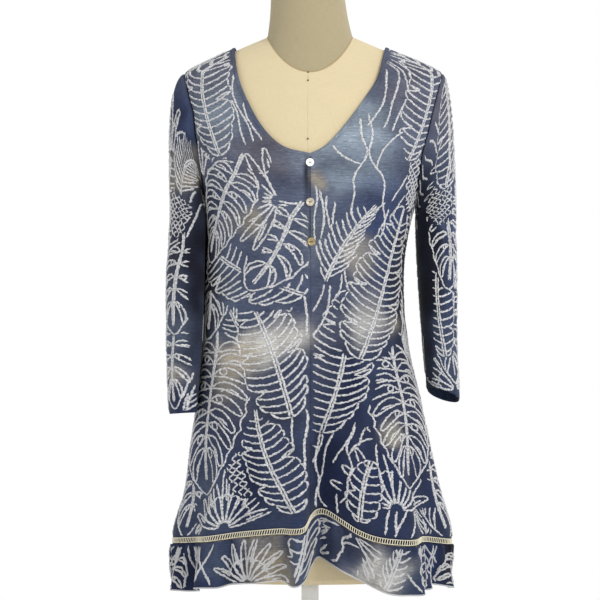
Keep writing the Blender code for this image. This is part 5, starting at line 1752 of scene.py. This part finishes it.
class TUNIC_OT_form(Undoable, bpy.types.Operator):
    """Dress form: torso, neck, cap, seams and pins"""

    bl_idname = "tunic.form"
    bl_label = "Dress form"

    def execute(self, context):
        linen = linen_finish("form_linen", colours().linen, tone(172, 157, 123), 0.35)
        turns = np.linspace(-math.pi, math.pi, FORM_TURNS)
        torso = self.torso_points(turns)
        self.add_torso(turns, torso, linen)
        self.add_neck(turns, torso[0], linen)
        self.add_seams(torso[0])
        self.add_pins()
        return {"FINISHED"}

    def torso_points(self, turns):
        """Rings of points down the torso, from the neck seam to the lower edge."""
        seam_angle, seam_height = self.neck_seam(turns)
        angles = []
        heights = []
        for row in range(SHOULDER_ROWS):
            t = 1 - row / SHOULDER_ROWS
            angles.append(mix(turns, seam_angle, float(ease(t))))
            heights.append(mix(FORM_SHOULDER_START, seam_height, t))
        for height in np.linspace(FORM_SHOULDER_START, FORM_BOTTOM, TORSO_ROWS):
            angles.append(turns)
            heights.append(np.full_like(turns, height))
        return FORM(np.array(angles), np.array(heights))

    def add_torso(self, turns, points, linen):
        """Torso, closed below by a shallow dish."""
        count = len(turns)
        rim = FORM(turns, np.full_like(turns, FORM_BOTTOM), -0.004)
        dish = [[0.0, 0.0, FORM_BOTTOM + 0.002]]
        closed = np.concatenate((points.reshape(-1, 3), rim, dish))
        faces = grid_faces(len(points), count)
        edge = len(points) * count
        last = edge - count
        for i in range(count - 1):
            faces.append((last + i + 1, last + i, edge + i, edge + i + 1))
            faces.append((edge + i + 1, edge + i, len(closed) - 1))
        uv = np.stack(np.broadcast_arrays(turns * 0.15, points[..., 2]), axis=-1)
        uv = np.concatenate((uv.reshape(-1, 2), closed[edge:, :2]))
        add_piece("form_torso", closed, faces, uv, linen, "form_linen", "dress_form")

    def neck_seam(self, turns):
        """Angles and heights of the neck seam on the form."""
        lowest = np.where(np.cos(turns) > 0, NECK_SEAM_FRONT, NECK_SEAM_BACK)
        bend = np.abs(np.cos(turns)) ** NECK_SEAM_ROUND
        height = mix(NECK_SEAM_SIDE, lowest, bend)
        reach = NECK_SEAM_WIDTH * np.abs(np.sin(turns))
        level = np.minimum(height, NECK_SEAM_SIDE)
        left = angle_at(FORM, "left", reach, level)
        right = angle_at(FORM, "right", reach, level)
        angle = np.where(np.sin(turns) > 0, right, left)
        angle = np.where(np.abs(reach - NECK_SEAM_WIDTH) < 1e-6, math.pi / 2, angle)
        angle = np.where(np.cos(turns) < 0, math.pi - angle, angle)
        return np.copysign(angle, np.sin(turns)), height

    def add_neck(self, turns, seam, linen):
        """Neck and its cap."""
        top = np.stack((NECK_LEAN + NECK_TOP_WIDTH * np.sin(turns),
                        -NECK_TOP_DEPTH * np.cos(turns),
                        np.full_like(turns, NECK_TOP_HEIGHT)), axis=1)
        foot = seam + np.array((0.0, 0.0, FORM_GAP))
        t = np.linspace(0.0, 1.0, NECK_ROWS)[:, None, None]
        loft = mix(top, foot, t)
        pinch = 1 - NECK_PINCH * np.sin(math.pi * t[..., 0])
        loft[..., 0] = NECK_LEAN + (loft[..., 0] - NECK_LEAN) * pinch
        loft[..., 1] *= pinch
        uv = np.stack(np.broadcast_arrays(turns * 0.058, loft[..., 2]), axis=-1)
        cover = linen_finish("neck_cover", colours().neck, tone(130, 119, 92), 0.40)
        add_piece("form_neck_cover", loft.reshape(-1, 3), grid_faces(NECK_ROWS, len(turns)), uv,
                  cover, "neck_cover", "form_neck")
        profile = rounded_rim(NECK_TOP_WIDTH, NECK_CAP_THICKNESS, NECK_CAP_EDGE, 5)
        profile.append((NECK_TOP_WIDTH * 0.6, NECK_CAP_THICKNESS + 0.0006))
        profile.append((0.002, NECK_CAP_THICKNESS + 0.0010))
        middle = (NECK_LEAN, 0.0, NECK_TOP_HEIGHT + FORM_GAP)
        points, faces = turned_mesh(profile, middle, 96, (1.0, NECK_TOP_DEPTH / NECK_TOP_WIDTH))
        add_piece("form_neck_cap", points, faces, points[:, :2], linen, "form_linen", "neck_cap")

    def add_seams(self, seam):
        """Seam lines of the cover: round the neck and down both centres."""
        ring = seam + np.array((0.0, 0.0, FORM_GAP / 2))
        parts = [tube_mesh(ring[:-1], NECK_THREAD_RADIUS, closed=True)]
        heights = np.linspace(FORM_BOTTOM + 0.001, NECK_SEAM_FRONT - 0.002, 60)
        for angle in (CENTRE_ANGLE, math.pi):
            line = FORM(np.full_like(heights, angle), heights, -0.0002)
            parts.append(tube_mesh(line, CENTRE_THREAD_RADIUS, 6))
        points, faces = joined(parts)
        thread = plain_finish("form_thread", tone(150, 132, 96), 0.8, 600.0)
        add_piece("form_seams", points, faces, points[:, [0, 2]], thread, "form_linen")

    def add_pins(self):
        """Pin heads at the centre front."""
        parts = []
        for height in PIN_HEIGHTS:
            place = FORM(np.array([CENTRE_ANGLE]), np.array([height]))[0]
            profile = []
            for step in range(9):
                turn = math.pi * (0.03 + 0.94 * step / 8)
                profile.append((PIN_RADIUS * math.sin(turn), -PIN_RADIUS * math.cos(turn)))
            parts.append(turned_mesh(profile, place, 16))
        points, faces = joined(parts)
        steel = plain_finish("pin_head", tone(92, 82, 66), 0.4, 900.0)
        add_piece("form_pins", points, faces, points[:, [0, 2]], steel, "form_linen")


class TUNIC_OT_stand(Undoable, bpy.types.Operator):
    """Pole and round base"""

    bl_idname = "tunic.stand"
    bl_label = "Stand"

    def execute(self, context):
        paint = plain_finish("stand_paint", colours().paint, 0.38, 60.0, coat=0.2)
        low = BASE_THICKNESS + FORM_GAP
        profile = [(POLE_RADIUS + wide, low + up) for wide, up in COLLAR]
        for height in np.linspace(low + 0.02, FORM_BOTTOM - FORM_GAP, 30):
            profile.append((POLE_RADIUS, height))
        points, faces = turned_mesh(profile, (0.0, 0.0, 0.0), 48)
        add_piece("stand_tube", points, faces, points[:, [0, 2]], paint, "stand_paint",
                  "stand_pole")
        profile = rounded_rim(BASE_RADIUS, BASE_THICKNESS, BASE_RIM, 6)
        profile += [(BASE_RADIUS * share, BASE_THICKNESS) for share in (0.8, 0.5, 0.2, 0.06)]
        points, faces = turned_mesh(profile, (0.0, 0.0, 0.0), 160)
        add_piece("stand_plate", points, faces, points[:, :2], paint, "stand_paint", "stand_base")
        return {"FINISHED"}


class TUNIC_OT_fronts(Undoable, bpy.types.Operator):
    """Two front panels with their raised leaf lines"""

    bl_idname = "tunic.fronts"
    bl_label = "Fronts"

    def execute(self, context):
        for side in DIRECTION:
            name = "front_" + side
            panel = Panel(side, back=False)
            points, uv, shape = panel_points(panel, COLUMN_CROWDING)
            cloth = add_piece(name + "_cloth", points, grid_faces(*shape, flip=side == "left"), uv,
                              knit(), "tunic_knit", name, dye=dye_colours(points, "front"),
                              wall=sizes().cloth)
            lines = add_leaf_lines(name, "front", CLOTH.radius, panel.holds, lifted_body, 11)
        return {"FINISHED"}


class TUNIC_OT_back(Undoable, bpy.types.Operator):
    """Back panel with its raised leaf lines"""

    bl_idname = "tunic.back"
    bl_label = "Back"

    def execute(self, context):
        halves = [Panel(side, back=True) for side in DIRECTION]
        parts = []
        maps = []
        for half in halves:
            points, uv, shape = panel_points(half, 1.0)
            parts.append((points, grid_faces(*shape, flip=half.side == "right")))
            maps.append(uv)
        points, faces = joined(parts)
        cloth = add_piece("back_cloth", points, faces, np.concatenate(maps), knit(), "tunic_knit",
                          "back", dye=dye_colours(points, "back"), wall=sizes().cloth, weld=True)

        def holds(*place):
            return halves[0].holds(*place) | halves[1].holds(*place)

        lines = add_leaf_lines("back", "back", CLOTH.radius, holds, lifted_body, 12)
        return {"FINISHED"}


class TUNIC_OT_sleeves(Undoable, bpy.types.Operator):
    """Two sleeves with turned cuffs"""

    bl_idname = "tunic.sleeves"
    bl_label = "Sleeves"

    def execute(self, context):
        turns = np.linspace(-math.pi, math.pi, SLEEVE_TURNS)
        for side in DIRECTION:
            name = "sleeve_" + side
            sleeve = Sleeve(side)
            cuff = sleeve.cuff(turns)[None, :]
            level = mix(SHOULDER_TIP, cuff, np.linspace(0.0, 1.0, SLEEVE_ROWS)[:, None])
            turn = np.broadcast_to(turns, level.shape)
            roll = -ridge(level - cuff - CUFF_HEM, *CUFF_SEAM_ROLL)
            roll = roll - ridge(level - cuff, *CUFF_ROLL)
            roll = roll - ridge(SHOULDER_TIP - level, *CAP_ROLL)
            points = sleeve.lifted(turn, level, roll).reshape(-1, 3)
            uv = np.stack((turn * 0.040, level), axis=-1)
            faces = grid_faces(*level.shape, flip=side == "right")
            cloth = add_piece(name + "_cloth", points, faces, uv, knit(), "tunic_knit", name,
                              dye=dye_colours(points, "sleeve"), wall=sizes().cloth)
            lines = add_leaf_lines(name, "sleeve", sleeve.radius, sleeve.holds, sleeve.lifted, 13)
        return {"FINISHED"}


class TUNIC_OT_neck_band(Undoable, bpy.types.Operator):
    """Narrow turned edge round the neckline"""

    bl_idname = "tunic.neck_band"
    bl_label = "Neck edge"

    def execute(self, context):
        angle, height = self.neckline()
        points = body(angle, height)
        outward = normals(body, angle, height)
        inward = unit(np.cross(outward, unit(np.gradient(points, axis=0))))
        rows = [points + inward * across + outward * out for across, out in BAND_PROFILE]
        grid = np.array(rows)[::-1]
        depth = np.linspace(0.0, 0.008, len(rows))[:, None]
        uv = np.stack(np.broadcast_arrays(distances(points), depth), axis=-1)
        flat = grid.reshape(-1, 3)
        # The band's dye is darkened a little: painted shade along the rolled edge
        band = add_piece("neck_band_cloth", flat, grid_faces(len(rows), len(points)), uv, knit(),
                         "tunic_knit", "neck_band", wall=BAND_WALL,
                         dye=dye_colours(flat, "front") * 0.95)
        return {"FINISHED"}

    def neckline(self):
        """Angles and heights round the whole neckline, from the centre front to the right."""
        angles = []
        heights = []
        steps = np.linspace(0.0, 1.0, 150)
        for side, back in (("right", False), ("right", True), ("left", True), ("left", False)):
            seam = SeamLine(NECK_BACK if back else NECK_FRONT, side, back)
            angle, height = seam.at(steps)
            turned = DIRECTION[side] * (math.pi - angle if back else angle)
            outgoing = (side == "right") == back
            order = slice(None) if outgoing else slice(None, None, -1)
            skip = 1 if angles else 0
            turned = turned[order][skip:]
            angles.append(turned + (2 * math.pi if side == "left" else 0.0))
            heights.append(height[order][skip:])
        return np.concatenate(angles), np.concatenate(heights)


class TUNIC_OT_ladder(Undoable, bpy.types.Operator):
    """Ladder trim: two rails with slanted rungs between them"""

    bl_idname = "tunic.ladder"
    bl_label = "Ladder trim"

    def execute(self, context):
        cotton = trim_finish(colours().trim)
        radius = sizes().rail / 2
        for name, low, high in (("ladder_front", -90, 90), ("ladder_back", 90, 270)):
            angles = np.radians(np.linspace(low + 0.05, high - 0.05, LADDER_COLUMNS))
            top = self.line(angles, radius + 0.0002)
            bottom = self.line(angles, LADDER_HEIGHT - radius)
            parts = [tube_mesh(top, radius), tube_mesh(bottom, radius)]
            along = distances(top)
            count = int(along[-1] / sizes().rung_pitch)
            drops = np.linspace(radius, LADDER_HEIGHT - radius, len(RUNG_RADII))
            for spot in np.linspace(0.0012, along[-1] - 0.0012, count):
                upper = float(np.interp(spot + RUNG_LEAN, along, angles))
                lower = float(np.interp(spot - RUNG_LEAN, along, angles))
                angle = np.linspace(upper, lower, len(drops))
                lift = normals(body, angle, hem_height(angle) - drops) * 0.0002
                parts.append(tube_mesh(self.line(angle, drops) + lift, RUNG_RADII, 6))
            points, faces = joined(parts)
            uv = points[:, [0, 2]] + points[:, [1, 1]] * 0.5
            add_piece(name + "_trim", points, faces, uv, cotton, "ladder_trim", name)
            self.add_backing(name, angles)
        return {"FINISHED"}

    def add_backing(self, name, angles):
        """Dark strip of knit behind the rungs, made like a seam allowance: painted shade that
        keeps the slots dark.
        """
        drops = np.linspace(0.0004, LADDER_HEIGHT - 0.0004, 4)[:, None]
        angle = np.broadcast_to(angles, (4, len(angles)))
        points = body(angle, hem_height(angle) - drops, -SHADE_STRIP_DEPTH).reshape(-1, 3)
        uv = np.stack(np.broadcast_arrays(angle * 0.17, drops), axis=-1)
        # The strip takes the darkest tone, as painted shade seen through the slots
        dark = np.tile(TONES["ink"], (len(points), 1))
        strip = add_piece(name + "_backing", points, grid_faces(4, len(angles)), uv, knit(),
                          "tunic_knit", dye=dark, wall=SHADE_STRIP_WALL)

    def line(self, angle, drop):
        """Points at a drop below the hem of the body."""
        return body(angle, hem_height(angle) - drop, -0.0006)


class TUNIC_OT_ruffle(Undoable, bpy.types.Operator):
    """Gathered ruffle with its overlocked edge"""

    bl_idname = "tunic.ruffle"
    bl_label = "Ruffle"

    def execute(self, context):
        thread = edge_finish(colours().yarn)
        for part, table in (("front", "ruffle"), ("back", "ruffle_back")):
            name = "ruffle_" + part
            ruffle = Ruffle(part)
            angles = np.linspace(ruffle.low, ruffle.high, RUFFLE_SHAPE[1])
            angle = np.broadcast_to(angles, RUFFLE_SHAPE)
            t = np.broadcast_to(np.linspace(0.0, 1.0, RUFFLE_SHAPE[0])[:, None], RUFFLE_SHAPE)
            points = ruffle(angle, t).reshape(-1, 3)
            uv = np.stack((angle * 0.20, -t * RUFFLE_DROP), axis=-1)
            cloth = add_piece(name + "_cloth", points, grid_faces(*RUFFLE_SHAPE), uv, knit(),
                              "tunic_knit", name, dye=dye_colours(points, table),
                              wall=sizes().cloth * 0.9)
            edge = ruffle(angles, np.full_like(angles, 1.0), -0.0004)
            radius = sizes().edge / 2 * (1 + 0.12 * np.sin(np.arange(len(angles)) * 2.2))
            spots, faces = tube_mesh(edge, radius)
            hem = add_piece(name + "_edge", spots, faces, spots[:, [0, 2]], thread, "tunic_knit",
                            dye=dye_colours(spots, table))
            lines = add_leaf_lines(name, table, lambda t: np.full(np.shape(t), 0.180),
                                   ruffle.holds, ruffle.lifted, 14, drop=RUFFLE_DROP)
        return {"FINISHED"}


class TUNIC_OT_buttons(Undoable, bpy.types.Operator):
    """Three shell buttons with their thread"""

    bl_idname = "tunic.buttons"
    bl_label = "Buttons"

    def execute(self, context):
        thread = plain_finish("button_thread", tone(70, 72, 92), 0.8, 900.0)
        # The holes are dark plugs: painted shade where the button is pierced
        hole_shade = plain_finish("button_hole", tone(52, 44, 34), 0.7, 900.0)
        for button in BUTTONS:
            low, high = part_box(button.name)
            up = self.way_up(button.height)
            outward = Vector((1.0, 0.0, 0.0)).cross(up)
            axes = np.array(((1.0, 0.0, 0.0), up, outward))
            place = (np.array((low + high) / 2), axes)
            self.add_disc(button, place)
            self.add_details(button, place, thread, hole_shade)
        return {"FINISHED"}

    def way_up(self, height):
        """Direction up the cloth at the centre front."""
        ends = body(np.zeros(2), np.array((height - BUTTON_RADIUS, height + BUTTON_RADIUS)))
        return Vector(ends[1] - ends[0]).normalized()

    def placed(self, points, place):
        """Points that are drawn flat, set at the button's middle and turned to its axes."""
        middle, (right, up, outward) = place
        return middle + (points[:, :1] * right + points[:, 1:2] * up) + points[:, 2:] * outward

    def add_disc(self, button, place):
        """Turned disc with a raised rim and a dished middle."""
        half = BUTTON_THICKNESS / 2
        r = BUTTON_RADIUS
        profile = [(r * 0.30, -half), (r - 0.0007, -half), (r - 0.0001, -half * 0.5), (r, 0.0),
                   (r - 0.00015, half * 0.55), (r - 0.0007, half), (r - 0.0014, half * 0.98),
                   (r - 0.0019, half * 0.50), (r * 0.35, half * 0.32), (r * 0.08, half * 0.30)]
        points, faces = turned_mesh(profile, (0.0, 0.0, 0.0), 48)
        points = self.placed(points, place)
        shell = shell_finish(button.name + "_pearl", button.warmth)
        add_piece(button.name + "_shell", points, faces, points[:, [0, 2]], shell, "shell_button",
                  button.name)

    def add_details(self, button, place, thread, hole_shade):
        """Two holes, filled with dark plugs of painted shade, and the thread that passes through
        them.
        """
        surface = BUTTON_THICKNESS / 2 * 0.36
        holes = []
        for side in (-1, 1):
            profile = [(HOLE_RADIUS, -0.0003), (HOLE_RADIUS, 0.0), (HOLE_RADIUS * 0.4, 0.00004)]
            points, faces = turned_mesh(profile, (side * HOLE_REACH, 0.0, surface), 14)
            holes.append((self.placed(points, place), faces))
        strands = []
        x = np.linspace(-HOLE_REACH, HOLE_REACH, 9)
        for offset in (-0.00026, 0.00026):
            rise = surface + 0.00005 + 0.00035 * np.sqrt(np.maximum(0.0, 1 - (x / 0.00141) ** 2))
            line = np.stack((x, np.full(9, offset), rise), axis=1)
            strands.append(tube_mesh(self.placed(line, place), STRAND_RADIUS, 6))
        for part, parts, material in (("_holes", holes, hole_shade), ("_thread", strands, thread)):
            points, faces = joined(parts)
            add_piece(button.name + part, points, faces, points[:, [0, 2]], material,
                      "shell_button")


class TUNIC_OT_studio(Undoable, bpy.types.Operator):
    """Pale floor, soft light and the camera"""

    bl_idname = "tunic.studio"
    bl_label = "Studio"

    def execute(self, context):
        scene = context.scene
        profile = [(FLOOR_RADIUS, -0.02), (FLOOR_RADIUS, -0.0002), (0.5, -0.0002)]
        points, faces = turned_mesh(profile, (0.0, 0.0, 0.0), 96)
        floor = new_mesh_object("studio_floor", points, faces, points[:, :2])
        floor.data.materials.append(floor_finish(tone(250, 250, 250)))
        world = bpy.data.worlds.new("studio light")
        world.use_nodes = True
        sky = world.node_tree.nodes["Background"]
        sky.inputs["Color"].default_value = (1.0, 1.0, 1.0, 1.0)
        sky.inputs["Strength"].default_value = 1.0
        scene.world = world
        for light in LIGHTS:
            self.add_light(light)
        scene.view_settings.view_transform = "Standard"
        data = bpy.data.cameras.new("camera")
        data.sensor_fit = "HORIZONTAL"
        data.sensor_width = CAMERA_SENSOR
        data.lens = CAMERA_SENSOR * -CAMERA_PLACE[1] / FRAME_WIDTH
        data.dof.use_dof = False
        camera = bpy.data.objects.new("camera", data)
        camera.location = CAMERA_PLACE
        camera.rotation_euler = (math.pi / 2, 0.0, 0.0)
        scene.collection.objects.link(camera)
        scene.camera = camera
        return {"FINISHED"}

    def add_light(self, light):
        """Soft square light that points at the middle of the tunic."""
        data = bpy.data.lights.new(light.name, "AREA")
        data.size = light.size
        data.energy = light.power
        item = bpy.data.objects.new(light.name, data)
        item.location = light.place
        item.visible_camera = False
        aim = Vector(LIGHT_AIM) - Vector(light.place)
        item.rotation_euler = aim.to_track_quat("-Z", "Y").to_euler()
        bpy.context.scene.collection.objects.link(item)


class TUNIC_PT_panel(bpy.types.Panel):
    """Sidebar panel that lists the steps, sizes and colours"""

    bl_idname = "TUNIC_PT_panel"
    bl_label = "Tunic"
    bl_space_type = "VIEW_3D"
    bl_region_type = "UI"
    bl_category = "Tunic"

    def draw(self, context):
        column = self.layout.column(align=True)
        for operator in OPERATORS:
            column.operator(operator.bl_idname)
        for group in (context.scene.tunic_sizes, context.scene.tunic_colours):
            box = self.layout.box()
            for name in group.__annotations__:
                box.prop(group, name)


OPERATORS = (
    TUNIC_OT_studio,
    TUNIC_OT_form,
    TUNIC_OT_stand,
    TUNIC_OT_fronts,
    TUNIC_OT_back,
    TUNIC_OT_sleeves,
    TUNIC_OT_neck_band,
    TUNIC_OT_ladder,
    TUNIC_OT_ruffle,
    TUNIC_OT_buttons,
)
CLASSES = (TunicSizes, TunicColours, *OPERATORS, TUNIC_PT_panel)


def register():
    """Register the classes and the settings."""
    for item in CLASSES:
        bpy.utils.register_class(item)
    bpy.types.Scene.tunic_sizes = PointerProperty(type=TunicSizes)
    bpy.types.Scene.tunic_colours = PointerProperty(type=TunicColours)


def unregister():
    """Remove the settings and the classes."""
    del bpy.types.Scene.tunic_colours
    del bpy.types.Scene.tunic_sizes
    for item in reversed(CLASSES):
        bpy.utils.unregister_class(item)


def main():
    """Build everything in order."""
    register()
    bpy.ops.tunic.studio()
    bpy.ops.tunic.form()
    bpy.ops.tunic.stand()
    bpy.ops.tunic.fronts()
    bpy.ops.tunic.back()
    bpy.ops.tunic.sleeves()
    bpy.ops.tunic.neck_band()
    bpy.ops.tunic.ladder()
    bpy.ops.tunic.ruffle()
    bpy.ops.tunic.buttons()


if __name__ == "__main__":
    main()
